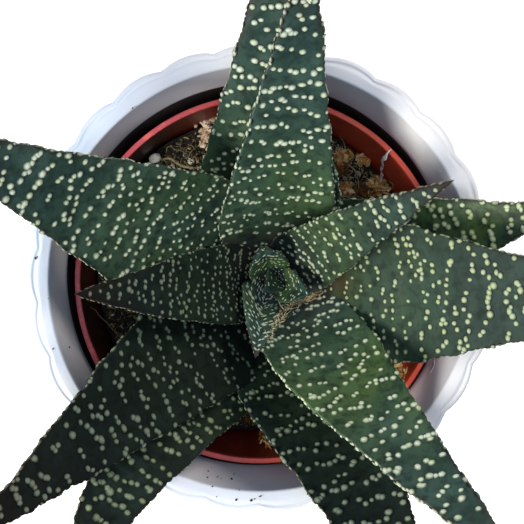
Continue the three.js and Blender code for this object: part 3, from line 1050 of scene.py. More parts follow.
@dataclass
class RootBall:
    """Fibrous peat mix that fills the nursery pot, with crumbs, shreds and fibres on it. Its
    methods take x and y from the pot's centre."""

    pot: NurseryPot
    level: float = 73.0
    rise: float = 5.0
    gap: float = 0.3
    # Radius within which nothing is scattered, because the plant covers it.
    inner: float = 20.0
    rings: int = 110
    columns: int = 250
    crumbs: int = 3400
    # Share of the crumbs that are pale.
    pale: float = 0.36
    # How much paler the painted light makes the right side, and the places along X between which
    # it comes in.
    dry: tuple[float, float, float] = (0.48, 5.0, 26.0)
    # Place, spread and height of the mound.
    mound: tuple[float, float, float, float] = (46.5, -29.8, 6.5, 7.0)

    def height(self, x: np.ndarray, y: np.ndarray) -> np.ndarray:
        """Height of the soil at a place from the pot's centre: a shallow dish with lumps.

        Args:
            x: Places along X.
            y: Places along Y.

        Returns:
            The heights.
        """
        out = np.hypot(x, y) / self.pot.inside(self.level)
        swell = np.sin(x * 0.21 + 1.3) * np.cos(y * 0.17 - 0.6)
        swell = swell + 0.6 * np.sin(x * 0.43 - y * 0.37)
        return self.level + self.rise * out ** 2 + 0.9 * swell

    def relief(self, x: np.ndarray, y: np.ndarray) -> np.ndarray:
        """The soil's height with its clods and grain, waves of 8, 3.5 and 1.7 mm, and with
        one mound heaped against the wall: its height times exp(-(distance/spread)^2).

        Args:
            x: Places along X.
            y: Places along Y.

        Returns:
            The heights.
        """
        place = np.stack([x, y, np.zeros_like(x)], axis=-1)
        clods = 0.9 * waves(place, 8, 3) + 0.5 * np.abs(waves(place, 3.5, 4))
        apart = np.hypot(x - self.mound[0], y - self.mound[1]) / self.mound[2]
        heaped = self.mound[3] * np.exp(-apart ** 2)
        return self.height(x, y) + clods + 0.3 * waves(place, 1.7, 5) + heaped

    def surface(self) -> Surface:
        """The root ball's skin: bottom, side against the pot, and the rough top.

        Returns:
            The closed skin.
        """
        bottom = self.pot.bottom + self.pot.wall + self.gap
        bevel = 1.4
        side = np.linspace(bottom + bevel, self.level + 1.5, 16)
        edge = self.pot.inside(side) - self.gap
        profile = np.stack([np.concatenate([[INNERMOST, 24.0, edge[0] - bevel], edge]),
                            np.concatenate([[bottom] * 3, side])], axis=-1)
        below = turned(profile, self.columns)
        share = np.linspace(1, 0.015, self.rings)
        top = turned(np.stack([share * edge[-1], np.zeros_like(share)], axis=-1), self.columns)
        height = np.maximum(self.relief(top[..., 0], top[..., 1]), self.level + 0.6)
        limit = self.pot.inside(height) - self.gap
        top[..., :2] *= (limit / edge[-1])[..., None]
        top[..., 2] = height
        rings = np.concatenate([below, top])
        rings[..., :2] += self.pot.centre
        poles = np.array([[*self.pot.centre, bottom], [*self.pot.centre, height[-1].mean()]])
        return closed_forms(rings[None], poles[:1], poles[1:])

    def scatter(self, count: int, seed: int) -> tuple[np.ndarray, np.ndarray, np.ndarray]:
        """Seeded places on the soil, even by area, from an inner radius to the wall.

        Args:
            count: Number of places.
            seed: Seed of the places.

        Returns:
            x, y and height at each place, measured from the pot's centre.
        """
        draw = np.random.default_rng(seed)
        outer = self.pot.inside(self.level + 3) - 1.2
        radius = np.sqrt(draw.uniform(self.inner ** 2, outer ** 2, count))
        angle = draw.uniform(0, 2 * math.pi, count)
        x, y = radius * np.cos(angle), radius * np.sin(angle)
        return x, y, self.relief(x, y)

    def painted_light_share(self, x: np.ndarray) -> np.ndarray:
        """How much paler the painted light makes the soil, from none in the middle to the right.
        """
        most, start, full = self.dry
        return most * smooth_step(x, start, full)

    def crumb_surface(self) -> Surface:
        """Crumbs of peat 0.4 to 3 mm wide, the small ones far more common.

        Returns:
            The crumbs, with their tones.
        """
        draw = np.random.default_rng(21)
        grid = (3, 5)
        x, y, z = self.scatter(self.crumbs, 20)
        size = 0.28 + draw.power(0.4, self.crumbs)[:, None] ** 2
        sizes = size * draw.uniform([0.7, 0.6, 0.4], [1.2, 1.0, 0.8], (self.crumbs, 3))
        centres = np.stack([x + self.pot.centre[0], y + self.pot.centre[1],
                            z + 0.25 * sizes[:, 2]], axis=-1)
        crumbs = lumps(centres, sizes, grid, 0.3, 22, 0.8)
        tone = np.where(draw.uniform(size=self.crumbs) < self.pale,
                        draw.uniform(0.25, 1, self.crumbs), draw.uniform(0, 0.12, self.crumbs))
        # Painted light: the crumbs get paler towards the right.
        crumbs.marks["tone"] = per_form(np.minimum(tone + self.painted_light_share(x), 1), grid)
        return crumbs

    def strands(self, count: int, grid: tuple[int, int], seed: int,
                length: tuple[float, float], radius: tuple[float, float], arch: float,
                flat: float) -> Surface:
        """Strands that lie over the crumbs, each with its own curl, slope and arch.

        At t along a strand, from -0.5 to 0.5, it has curled aside by a seeded mix of t^2 and
        t^3, and risen by its arch times 1 - (2t)^2 and by its slope times t.

        Args:
            count: Number of strands.
            grid: Points along a strand, and round it.
            seed: Seed of their places and shapes.
            length: Shortest and longest; the short ones are more common.
            radius: Least and greatest half width.
            arch: Highest rise of a strand's middle.
            flat: Thickness as a share of the width.

        Returns:
            The strands as closed tubes that narrow to their ends.
        """
        # Spread of the curls and of the slopes, lift off the soil and room left to the wall.
        curling, sloping, lift, room = 0.5, 0.22, 0.25, 1.0
        draw = np.random.default_rng(seed)
        x, y, _ = self.scatter(count, seed + 1)
        heading = draw.uniform(0, 2 * math.pi, count)
        size = length[0] + (length[1] - length[0]) * draw.uniform(size=count) ** 2
        rows, columns = grid
        t = np.linspace(-0.5, 0.5, rows)
        curl = draw.normal(0, curling, count)[:, None] * t ** 2 * 2
        curl = curl + draw.normal(0, curling, count)[:, None] * t ** 3 * 4
        ahead = np.stack([np.cos(heading), np.sin(heading)], axis=-1)[:, None]
        beside = np.stack([-np.sin(heading), np.cos(heading)], axis=-1)[:, None]
        flat_path = np.stack([x, y], axis=-1)[:, None] + size[:, None, None] * (
            ahead * t[:, None] + beside * curl[..., None])
        reach = self.pot.inside(self.level + 4) - room
        out = np.linalg.norm(flat_path, axis=-1, keepdims=True)
        flat_path = flat_path * np.minimum(1, reach / out)
        rise = draw.uniform(0.1, 1, count)[:, None] * arch * (1 - (2 * t) ** 2)
        slope = draw.normal(0, sloping, count)[:, None] * t * size[:, None]
        z = self.relief(flat_path[..., 0], flat_path[..., 1]) + lift + rise + slope
        paths = np.concatenate([flat_path + self.pot.centre, z[..., None]], axis=-1)
        radii = draw.uniform(*radius, count)[:, None] * np.sqrt(np.maximum(1 - (2 * t) ** 2, 0.1))
        strands = tubes(paths, radii, columns, flat)
        # Painted light: the strands get paler towards the right.
        tone = draw.beta(0.5, 1.3, count) + self.painted_light_share(x)
        strands.marks["tone"] = per_form(np.minimum(tone, 1), (rows - 2, columns))
        return strands

    def build(self, bench: Bench) -> None:
        """Makes the root ball, its crumbs, its shreds of leaf mould and its fibres.

        Args:
            bench: Where the pieces are made.
        """
        peat = GranularMatter("damp fibrous peat", "#0c0a08", "#342b21", "#6e5d42", 1.6, 0.5)
        bench.piece("soil_peat", self.surface(), peat, ("soil",))
        crumb = GranularMatter("peat crumbs", "#14110d", "#665c46", "#d2c8ae", 1.1, 0.3)
        bench.piece("soil_crumbs", self.crumb_surface(), crumb, smooth=False)
        mould = GranularMatter("shreds of leaf mould", "#1a160c", "#867844", "#c4b47a", 1.1, 0.2)
        shreds = self.strands(count=4600, grid=(5, 3), seed=40, length=(0.9, 3.4),
                              radius=(0.12, 0.36), arch=0.7, flat=0.5)
        bench.piece("soil_shreds", shreds, mould)
        fibre = GranularMatter("peat and coir fibres", "#3a3024", "#857158", "#cdbd9a", 1.5, 0.1,
                               0.75)
        fibres = self.strands(count=420, grid=(8, 4), seed=30, length=(2, 10),
                              radius=(0.05, 0.11), arch=1.6, flat=0.8)
        bench.piece("soil_fibres", fibres, fibre)


@dataclass
class Topping:
    """Bits of bark and perlite that lie on the soil."""

    # Node name, half sizes, turn and shift from the node's middle.
    grains: tuple = (("perlite_grain_1", (2.1, 1.7, 1.5), 20, (0.1, 3.9, 2.0)),
                     ("perlite_grain_2", (1.4, 1.2, 1.1), 70, (-1.4, 2.4, 0.4)))
    chips: tuple = (("bark_chip_1", (4.2, 2.6, 1.5), 35, (0, 0, 0)),
                    ("bark_chip_2", (3.4, 2.2, 1.4), -20, (0, 0, 0)),
                    ("bark_chip_4", (4.6, 2.8, 1.6), 10, (0, 0, 0)))
    pale: tuple = ("bark_chip_3", (3.0, 2.3, 1.6), 74, (1.4, 3.4, 1.4))
    # Offset from the pale chip and half sizes of each lump that came off it.
    broken: tuple = (((-0.6, 3.6, 0.8), (1.6, 1.8, 1.4)), ((1.6, 5.0, 1.1), (1.1, 1.4, 1.0)),
                     ((-1.6, -3.6, -0.6), (1.3, 1.0, 0.9)))
    grit: int = 70
    # Power that makes a ball boxy, and share of its half sizes that it is squashed to.
    boxy: float = 0.8
    snug: float = 0.95

    def nugget(self, node: str, half: tuple, turn: float, shift: tuple, rough: float,
               seed: int) -> Surface:
        """A lumpy nugget in the place of its node: a ball made a little boxy, squashed by its
        half sizes, turned, and pushed in and out by waves of 1.1 and 0.4 of its half sizes.

        Args:
            node: The node's name.
            half: Half sizes.
            turn: Turn about +Z in degrees.
            shift: Shift from the middle of the node's box.
            rough: Height of the longer waves, as a share; the shorter ones have half of it.
            seed: Seed of the waves.

        Returns:
            The closed nugget.
        """
        low, high = (np.array(corner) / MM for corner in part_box(node))
        centre = (low + high) / 2 + shift
        ball = unit_ball(22, 30)
        ball = np.sign(ball) * np.abs(ball) ** self.boxy

        def shaped(unit: np.ndarray) -> np.ndarray:
            """Places unit points: pushed, squashed, turned about +Z and moved to the seat.

            Args:
                unit: Points of the ball.

            Returns:
                Their places on the nugget.
            """
            push = 1 + rough * waves(unit, 1.1, seed) + rough * 0.5 * waves(unit, 0.4, seed + 1)
            solid = unit * push[..., None] * np.array(half) * self.snug
            cos, sin = math.cos(math.radians(turn)), math.sin(math.radians(turn))
            x = solid[..., 0] * cos - solid[..., 1] * sin
            y = solid[..., 0] * sin + solid[..., 1] * cos
            return np.stack([x, y, solid[..., 2]], axis=-1) + centre

        ends = shaped(POLES)
        return closed_forms(shaped(ball)[None], ends[:1], ends[1:])

    def crumbling(self) -> Surface:
        """Pale chip against the wall, broken into lumps, with the grit that it shed.

        Returns:
            The chip with its lumps and grit.
        """
        draw = np.random.default_rng(95)
        chip = self.nugget(*self.pale, 0.16, 94)
        middle = chip.points.mean(axis=0)
        offset, size = np.array(self.broken).transpose(1, 0, 2)
        grit = middle + draw.normal(0, [1.5, 2.4, 0.7], (self.grit, 3)) + [0, 0, 0.6]
        grid = (6, 9)
        lump = lumps(np.vstack([middle + offset, grit]),
                     np.vstack([size, draw.uniform(0.25, 0.8, (self.grit, 3))]), grid, 0.18, 96)
        count = len(size) + self.grit
        lump.marks["tone"] = per_form(draw.uniform(0, 0.7, count), grid)
        return chip.joined(lump)

    def build(self, bench: Bench) -> None:
        """Makes the grains and the chips.

        Args:
            bench: Where the pieces are made.
        """
        perlite = GranularMatter("expanded perlite", "#cfd0c2", "#f6f7ec", "#ffffff", 1.6, 0.1)
        for order, (node, *shape) in enumerate(self.grains):
            bench.piece(f"{node}_porous", self.nugget(node, *shape, 0.07, 50 + order),
                        perlite, (node,))
        bark = GranularMatter("composted pine bark", "#2b1a0a", "#8a5a24", "#e0ab5c", 1.1, 0.5,
                              0.8)
        for order, (node, *shape) in enumerate(self.chips):
            bench.piece(f"{node}_weathered", self.nugget(node, *shape, 0.4, 60 + order),
                        bark, (node,), smooth=False)
        chalky = GranularMatter("pale crumbling bark", "#9a7f68", "#d9bf9f", "#f6e6cf", 0.9, 0.3)
        bench.piece(f"{self.pale[0]}_crumbling", self.crumbling(), chalky,
                    self.pale[:1], smooth=False)


@dataclass
class Litter:
    """Dry scraps: bark flakes in heaps, a papery strip over the nursery rim, loose roots, and
    the withered fringe between the youngest leaves."""

    soil: RootBall
    # Place, spread and height of each heap of flakes.
    heaps: tuple = ((29.5, 39.5, 2.6, 2), (36.5, 38.8, 1.7, 3.5), (42, 29, 4.4, 2),
                    (31, 28, 2.0, 1.5), (45.9, -31.4, 2.8, 18), (3.4, -56.6, 2.2, 17))
    flakes: int = 80
    # Width and knots of each root, as (x, y, z).
    roots: tuple = (
        (0.2, ((-55.2, -9.5, 98), (-53.4, -13.2, 88), (-52.3, -15.2, 83), (-49.7, -18, 80),
               (-46.7, -22.3, 78), (-43, -27, 76))),
        (0.5, ((-37.4, 38.9, 77), (-35.2, 39.4, 77), (-31.8, 38.0, 77), (-29.0, 38.6, 77),
               (-25.8, 35.6, 77), (-22.8, 35.2, 77), (-17, 36.2, 77))),
        (0.14, ((-42.4, 40.6, 90), (-40.6, 42.4, 93), (-39.4, 43.5, 95))),
        (0.17, ((42.5, 29.5, 79), (44.8, 31, 82), (46.2, 30, 84), (46.4, 28, 83), (45, 27, 80),
                (43, 25, 79))),
        (0.3, ((28, 47, 78), (30.5, 43, 79), (30, 38, 79), (34, 34, 79), (35, 28, 79))))
    strip: tuple = ((42.8, 31.1, 79.5), (42.4, 32.1, 82.1), (42.0, 33.6, 86.7),
                    (41.2, 34.7, 88.3), (40.9, 36.5, 95.0), (40.1, 37.9, 98.5),
                    (40.0, 38.4, 102.8), (40.9, 40.0, 104.3), (42.3, 41.5, 104.0))
    hair: tuple = ((57.2, -26.8, 102.3), (56.7, -29.4, 103.8), (55.0, -31.8, 105.5))
    # The seam's line, and the line of the young leaf's margin that carries on from it.
    fringe_line: tuple = ((0.9, -18.2, 121.8), (3.2, -14.2, 118.6), (5.4, -11.9, 116.9),
                          (8.0, -9.6, 112.2), (10.8, -7.9, 109.3), (14.2, -7.2, 107.4),
                          (18.5, -5.4, 104.8))

    def through(self, knots: tuple, rows: int) -> np.ndarray:
        """Points of the straight runs through these knots, shape (rows, 3), each one eased to
        the mean of itself and its two neighbours on either side.

        Args:
            knots: The knots.
            rows: Number of points.

        Returns:
            The points.
        """
        place = np.array(knots, float)
        length = distances(place)
        path = between(np.linspace(0, length[-1], rows), length, place)
        wide = np.pad(path, ((2, 2), (0, 0)), mode="edge")
        return sum(wide[shift:shift + rows] for shift in range(5)) / 5

    def flake_surface(self) -> Surface:
        """Thin angular flakes strewn round the middle of each heap, inside the pot's wall.

        Returns:
            The flakes, with their tones.
        """
        draw = np.random.default_rng(71)
        grid = (3, 6)
        heaps = np.repeat(np.array(self.heaps, float), self.flakes, axis=0)
        count = len(heaps)
        flat = heaps[:, :2] + draw.normal(0, 0.45, (count, 2)) * heaps[:, 2:3]
        flat = flat - self.soil.pot.centre
        lift = 0.5 + draw.uniform(size=count) ** 1.2 * heaps[:, 3]
        height = self.soil.relief(flat[:, 0], flat[:, 1]) + lift
        out = np.linalg.norm(flat, axis=1)
        flat = flat * np.minimum(1, (self.soil.pot.inside(height) - 1.2) / out)[:, None]
        centres = np.column_stack([flat + self.soil.pot.centre, height])
        sizes = draw.uniform([0.5, 0.3, 0.08], [2.1, 1.0, 0.26], (count, 3))
        flakes = lumps(centres, sizes, grid, 0.35, 72, 0.8)
        flakes.marks["tone"] = per_form(draw.beta(0.5, 0.9, count), grid)
        return flakes

    def root_surface(self) -> Surface:
        """Loose roots that wander over the soil in waves of 9 mm, thinner towards their ends.

        Returns:
            The roots.
        """
        rows = 40
        paths = np.stack([self.through(knots, rows) for _, knots in self.roots])
        middle = np.array(self.soil.pot.centre)
        ground = self.soil.relief(paths[..., 0] - middle[0], paths[..., 1] - middle[1])
        paths[..., 2] = np.maximum(paths[..., 2], ground + 0.5)
        drift = np.stack([waves(paths, 9, 74 + axis) for axis in range(3)], axis=-1)
        width = np.array([width for width, _ in self.roots])[:, None]
        fade = np.sin(np.linspace(0.25, math.pi - 0.35, rows))
        roots = tubes(paths + 0.4 * drift * [1, 1, 0.4], width * fade, 8)
        roots.marks["tone"] = np.full(len(roots.points), 0.6)
        return roots

    def strip_surface(self) -> Surface:
        """Papery strip of an old leaf that hangs over the rim, crumpled in waves of 4 mm, and
        a fine hair of it on the white pot's band.

        Returns:
            The strip and the hair.
        """
        rows = 60
        path = self.through(self.strip, rows)[None]
        drift = np.stack([waves(path, 4.5, 78 + axis) for axis in range(3)], axis=-1)
        width = 0.68 + 0.3 * waves(path, 4, 82)
        strip = tubes(path + 0.3 * drift, np.maximum(width, 0.3), 8, 0.35)
        strip.marks["tone"] = np.full(len(strip.points), 0.8)
        hair = tubes(self.through(self.hair, 16)[None], np.full((1, 16), 0.1), 6)
        return strip.joined(hair)

    def fringe_surface(self) -> Surface:
        """Withered strands along the seam of the youngest leaves: most run along it, and the
        others stand up across it towards the heart.

        Returns:
            The strands, with their tones.
        """
        draw = np.random.default_rng(91)
        count, rows, columns = 210, 7, 5
        t = draw.beta(1.2, 1.0, count)
        seam = self.through(self.fringe_line, 50)
        root = between(t, np.linspace(0, 1, len(seam)), seam)
        root = root + draw.normal(0, [0.45, 0.45, 0.3], (count, 3))
        # Those that run along it take the direction of its far end.
        along = (seam[-1] - seam[-20]) / np.linalg.norm(seam[-1] - seam[-20])
        across = draw.uniform(size=(count, 1)) < 0.45
        heading = np.where(across, [-0.45, 0.75, 0.5], along * draw.choice([-1, 1], (count, 1)))
        heading = heading + draw.normal(0, 0.25, (count, 3))
        length = draw.uniform(1.2, 4.6, (count, 1)) * (0.35 + 0.65 * t[:, None])
        step = np.linspace(0, 1, rows)[:, None]
        bow = draw.normal(0, 0.5, (count, 1, 3)) * step * (1 - step)
        paths = root[:, None] + (length * heading)[:, None] * step + bow * length[:, None]
        radii = draw.uniform(0.07, 0.16, (count, 1)) * (1 - 0.7 * step[:, 0])
        fringe = tubes(paths, radii, columns, 0.6)
        fringe.marks["tone"] = per_form(draw.beta(0.9, 0.7, count), (rows - 2, columns))
        return fringe

    def build(self, bench: Bench) -> None:
        """Makes the scraps.

        Args:
            bench: Where the pieces are made.
        """
        bark = GranularMatter("bark flakes", "#6b4012", "#eba544", "#ffe0a0", 1.2, 0.2, 0.55)
        bench.piece("bark_flakes", self.flake_surface(), bark, smooth=False)
        root = GranularMatter("dry roots", "#4a4232", "#8c7f62", "#b3a684", 1.0, 0.15, 0.8)
        bench.piece("loose_roots", self.root_surface(), root)
        paper = GranularMatter("papery leaf remnant", "#dcd2cc", "#ffffff", "#ffffff", 1.2, 0.2,
                               0.6)
        bench.piece("papery_strip", self.strip_surface(), paper)
        straw = GranularMatter("withered leaf fringe", "#5a4020", "#a98650", "#e6d6aa", 1.2, 0.1,
                               0.7)
        bench.piece("withered_fringe", self.fringe_surface(), straw)


# The plant.


@dataclass
class Stem:
    """Short stout stem, ringed with old leaf scars, with its root crown in the soil."""

    axis: tuple[float, float] = (3.5, -1.0)
    bottom: float = 42.0
    top: float = 108.0
    # Height and depth of a ring, and the least radius that has them.
    scar: tuple[float, float, float] = (2.3, 0.16, 2.5)
    columns: int = 48

    def surface(self) -> Surface:
        """The stem's skin: a turned profile, plus a sine wave up it for the leaf scars.

        Returns:
            The closed skin, greener at the top by its tone.
        """
        profile = rounded([
            (0.4, self.bottom, 0), (1.6, self.bottom, 0.5), (6.2, 60.0, 2), (6.8, 78.0, 2),
            (6.0, 88.0, 2), (3.4, 101.0, 2), (2.0, self.top, 0.8), (0.4, self.top, 0)], 0.7)
        step, depth, least = self.scar
        scars = np.sin(profile[:, 1] / step * 2 * math.pi)
        profile[:, 0] += depth * scars * (profile[:, 0] > least)
        rings = turned(profile, self.columns)
        rings[..., :2] += self.axis
        poles = np.array([[*self.axis, self.bottom], [*self.axis, self.top]])
        form = closed_forms(rings[None], poles[:1], poles[1:])
        form.marks["tone"] = smooth_step(form.points[:, 2], 96, 101)
        return form

    def build(self, bench: Bench) -> None:
        """Makes the stem."""
        husk = GranularMatter("corky stem", "#3d3426", "#7b6c4c", "#26371c", 1.8, 0.3, 0.8)
        bench.piece("stem_corky", self.surface(), husk, ("stem",))


@dataclass
class Leaf:
    """One leaf by its shape, with its tubercles. Lengths in millimetres, angles in degrees.

    Attributes:
        order: Place in the spiral, 0 for the oldest.
        azimuth: Direction from the stem.
        length: Length along the centre line.
        width: Greatest width.
        rise: Slope at the base and at the tip.
        widest: Where it is broadest, as a share of its length.
        taper: How full it stays beyond that.
        bend: Turn towards the tip.
        roll: Tilt about the centre line.
        clasp: Width at the stem as a share of the width.
        glow: How strongly painted light brightens its sunlit part, and where it is along the leaf.
        warm: How yellow its tubercles are.
        fold: Depth of its fold along the middle, as a share of the half width.
        ripple: Height of its cross waves.
        row: Step from one row of tubercles to the next.
        pitch: Step between tubercles in a row.
        bead: Half width of a tubercle near the base and near the tip.
        chevron: How far its rows run back per millimetre from the middle.
        dry: Where the dried tip starts, as a share of the length.
        dark: Strength of the painted shade that darkens its tissue.
        stain: Strength of its brown stain.
        purple: Strength of the purplish flush at its base.
        stretch: How much longer its tubercles are across than along.
        back: How much nearer to the stem's axis, or behind it, it starts.
    """

    order: int
    azimuth: float
    length: float
    width: float
    rise: tuple[float, float]
    widest: float = 0.28
    taper: float = 1.05
    bend: float = 0.0
    roll: float = 0.0
    clasp: float = 0.6
    glow: tuple[float, float] = (0.3, 0.3)
    warm: float = 0.2
    fold: float = 0.0
    ripple: float = 0.14
    row: float = 5.0
    pitch: float = 2.25
    bead: tuple[float, float] = (0.64, 0.95)
    chevron: float = 0.0
    dry: float = 0.93
    dark: float = 0.0
    stain: float = 0.0
    purple: float = 0.8
    stretch: float = 1.0
    back: float = 0.0

    stem_axis = np.array([3.5, -1.0, 0.0])
    stem_radius = 6.0
    leaves_in_all = 15
    # Height of the oldest leaf's seat, the rise from leaf to leaf, and the highest seat.
    seats = (82.0, 2.3, 108.6)
    # Steps in which the centre line is summed, and points round the body.
    steps = 480
    columns = 64
    # Of the brown stain: its middle along and across the leaf, and the square of its reach.
    blot = (21.0, 1.0, 26.0)
    # Shares of the length between which tubercles grow.
    grown = (0.012, 0.975)
    # Power by which the rows draw together towards the base. The share of its pitch that a
    # tubercle keeps there, and the rest.
    closing, kept_pitch = 1.26, (0.72, 0.28)
    # How far a tubercle strays, across by the pitch and along by the row's step, and how
    # strongly a row crowds by the pitch.
    stray_across, stray_along, crowding = 0.14, 0.16, 0.2
    # Chance of a tubercle at a whole step of a row, and half way between two.
    chances = (0.87, 0.08)
    # Chance that a row has a bar, at the base and added to it at the tip, and its reach.
    bars = (0.04, 0.4, 1.6)
    # Step and jitter of the tubercles along a margin.
    margin_step, margin_jitter = 1.75, 0.5
    # Each ring of a dome from its foot up: its size, its height and its share of pearl.
    dome = ((1.35, -0.12, 0.0), (0.95, 0.46, 0.4), (0.55, 0.86, 0.78))
    dome_columns = 8

    @property
    def name(self) -> str:
        """The leaf's node in the frame."""
        return f"leaf_{self.order + 1:02d}"

    def direction(self, s: np.ndarray) -> np.ndarray:
        """Unit direction of the centre line at a share s of the length.

        Args:
            s: Shares of the length.

        Returns:
            One vector for each.
        """
        rise = np.radians(self.rise[0] + (self.rise[1] - self.rise[0]) * s)
        turn = np.radians(self.azimuth + self.bend * s)
        return np.stack([np.cos(rise) * np.cos(turn), np.cos(rise) * np.sin(turn),
                         np.sin(rise)], axis=-1)

    def centre_line(self, s: np.ndarray) -> np.ndarray:
        """Points of the centre line: the seat on the stem plus the summed directions.

        Args:
            s: Shares of the length.

        Returns:
            The points.
        """
        crowd = 1 - self.order / (self.leaves_in_all - 1)
        angle = math.radians(self.azimuth)
        seat = self.stem_radius * math.sqrt(crowd) - self.back
        lowest, step, highest = self.seats
        height = min(lowest + step * self.order, highest)
        start = np.array([seat * math.cos(angle), seat * math.sin(angle), height])
        middles = (np.arange(self.steps) + 0.5) / self.steps
        run = np.cumsum(self.direction(middles), axis=0) * self.length / self.steps
        run = np.vstack([np.zeros((1, 3)), run])
        knots = np.linspace(0, 1, self.steps + 1)
        return between(s, knots, run) + start + self.stem_axis

    def half_width(self, s: np.ndarray) -> np.ndarray:
        """Half width: a quarter sine wave up to the widest place, then a power to the tip.

        Args:
            s: Shares of the length.

        Returns:
            The half widths.
        """
        rising = self.clasp + (1 - self.clasp) * np.sin(
            np.minimum(s / self.widest, 1) * math.pi / 2)
        beyond = np.maximum((s - self.widest) / (1 - self.widest), 0)
        falling = 1 - beyond ** self.taper
        return self.width / 2 * np.where(s < self.widest, rising, falling)

    def axes(self, s: np.ndarray) -> tuple[np.ndarray, np.ndarray, np.ndarray]:
        """Directions along the leaf, across it and out of its upper face.

        Args:
            s: Shares of the length.

        Returns:
            Three unit vectors for each.
        """
        along = self.direction(s)
        across = np.cross([0, 0, 1.0], along)
        across /= np.linalg.norm(across, axis=-1, keepdims=True)
        roll = math.radians(self.roll)
        across = across * math.cos(roll) + np.cross(along, across) * math.sin(roll)
        return along, across, np.cross(along, across)

    def skin(self, s: np.ndarray, angle: np.ndarray) -> np.ndarray:
        """Points of the skin at a share s of the length and an angle round the section.

        The section is fleshy: a blunt margin, a slightly hollow upper face and a keeled
        belly. With side for the cosine of the angle, the level out of the leaf's plane is the
        margin's half thickness times the signed root of the sine. From it goes, above, a
        hollow of the half width times (0.1 + 0.12 (1-s)^3) (1 - side^2), or, below, a belly
        of 0.32 of the greatest half width times the fullness and (1 - |side|^1.5). The cross
        waves and the fold are added to it.

        Args:
            s: Shares of the length.
            angle: Angles in radians, 0 at one margin and a quarter turn at the upper face.

        Returns:
            The points, with x, y and z last.
        """
        s, angle = np.broadcast_arrays(s, angle)
        _, across, out = self.axes(s)
        half = self.half_width(s)
        # Drawn out a touch and cut off at 1, so that the margin is blunt.
        side = np.clip(np.cos(angle) * 1.01, -1, 1)
        face = np.sin(angle)
        fullness = np.sqrt(np.maximum(half, 0) / (self.width / 2))
        base = 0.5 + 0.5 * np.minimum(s / 0.22, 1)
        rim = np.minimum(1.2, 0.4 * half + 0.2)
        margin = rim * np.sign(face) * np.sqrt(np.abs(face))
        hollow = half * (0.1 + 0.12 * (1 - s) ** 3) * (1 - side ** 2)
        belly = self.width / 2 * 0.32 * fullness * base * (1 - np.abs(side) ** 1.5)
        level = margin - np.where(face > 0, hollow, belly)
        level = level + self.swell(s, side, face) * np.minimum(half / 4, 1)
        level = level + self.fold * half * (np.abs(side) - 0.6)
        centre = self.centre_line(s)
        place = half * side + self.margin_wave(s, side) * np.minimum(half / 5, 1)
        return centre + across * place[..., None] + out * level[..., None]

    def margin_wave(self, s: np.ndarray, side: np.ndarray) -> np.ndarray:
        """How far each margin wanders out: waves of 13 and 5 mm, different on either side.

        Args:
            s: Shares of the length.
            side: Places across, from 1 at one margin to -1 at the other.

        Returns:
            The shifts.
        """
        flow = np.stack([s * self.length, 40 * np.sign(side), np.zeros_like(side)], axis=-1)
        wander = 0.42 * waves(flow, 13, 120 + self.order) + 0.2 * waves(flow, 5, 121)
        return wander * side ** 3

    def swell(self, s: np.ndarray, side: np.ndarray, face: np.ndarray) -> np.ndarray:
        """Cross waves 7 mm long that fade at the margins, and a slow unevenness.

        Args:
            s: Shares of the length.
            side: Places across, from 1 at one margin to -1 at the other.
            face: The sine of the section angle.

        Returns:
            The rises.
        """
        run = s * self.length
        bow = 1.6 * side ** 2 + 0.5 * np.sin(run / 17 + self.order)
        wave = np.sin(2 * math.pi * (run / 7.3 + bow) + self.order)
        flow = np.stack([run, side * self.width / 2, face], axis=-1)
        return np.abs(face) * (self.ripple * wave * (1 - side ** 2)
                               + 0.3 * waves(flow, 21, 100 + self.order))

    def body(self) -> Surface:
        """The smooth leaf: rings about 1.15 mm apart, and points closest round the margins.

        Returns:
            The closed body, with its marks.
        """
        rows = max(24, int(self.length / 1.15))
        s = 1 - (1 - np.arange(rows) / rows) ** 1.12
        turn = even_angles(self.columns)
        angle = turn - 0.1 * np.sin(2 * turn)
        grid, around = np.meshgrid(s, angle, indexing="ij")
        form = closed_forms(self.skin(grid, around)[None], self.centre_line(np.zeros(1)),
                            self.centre_line(np.ones(1)))
        side = np.append(np.cos(around).ravel(), [0, 0])
        face = np.append(np.sin(around).ravel(), [0, 0])
        along = np.append(grid.ravel(), [0, 1])
        self.mark(form, along, side, face)
        edge = smooth_step(np.abs(side), 0.97, 0.995) * (1 - smooth_step(along, 0.5, 0.9))
        form.marks["margin"] = 0.15 * edge
        return form

    def mark(self, form: Surface, s: np.ndarray, side: np.ndarray, face: np.ndarray) -> None:
        """Adds the marks that tint the skin: the painted light on its sunlit part, purplish base,
        dried tip and hem, brown stain and painted shade.

        Args:
            form: The surface to mark.
            s: Share of the length at each point.
            side: Place across, from 1 at one margin to -1 at the other.
            face: The sine of the section angle, above 0 on the upper face.
        """
        strength, where = self.glow
        run = s * self.length
        flow = np.stack([run, side * self.width / 2, face * 3], axis=-1)
        # Painted light: sunlit in patches of 26 mm about one place, and less on the under face.
        patch = 0.5 + 0.5 * waves(flow, 26, 140 + self.order)
        lit = np.exp(-((s - where) / 0.22) ** 2) * np.clip(0.35 + 0.8 * patch, 0, 1)
        form.marks["glow"] = strength * lit * (0.4 + 0.6 * (face > -0.2))
        # The flush fades from 5 to 24 mm off the stem, sooner and weaker on a short leaf.
        reach = min(1.0, self.length / 90)
        near = 1 - smooth_step(run + 3 * waves(flow, 9, 160 + self.order), 5 * reach, 24 * reach)
        form.marks["base"] = self.purple * near * min(1.0, self.length / 50)
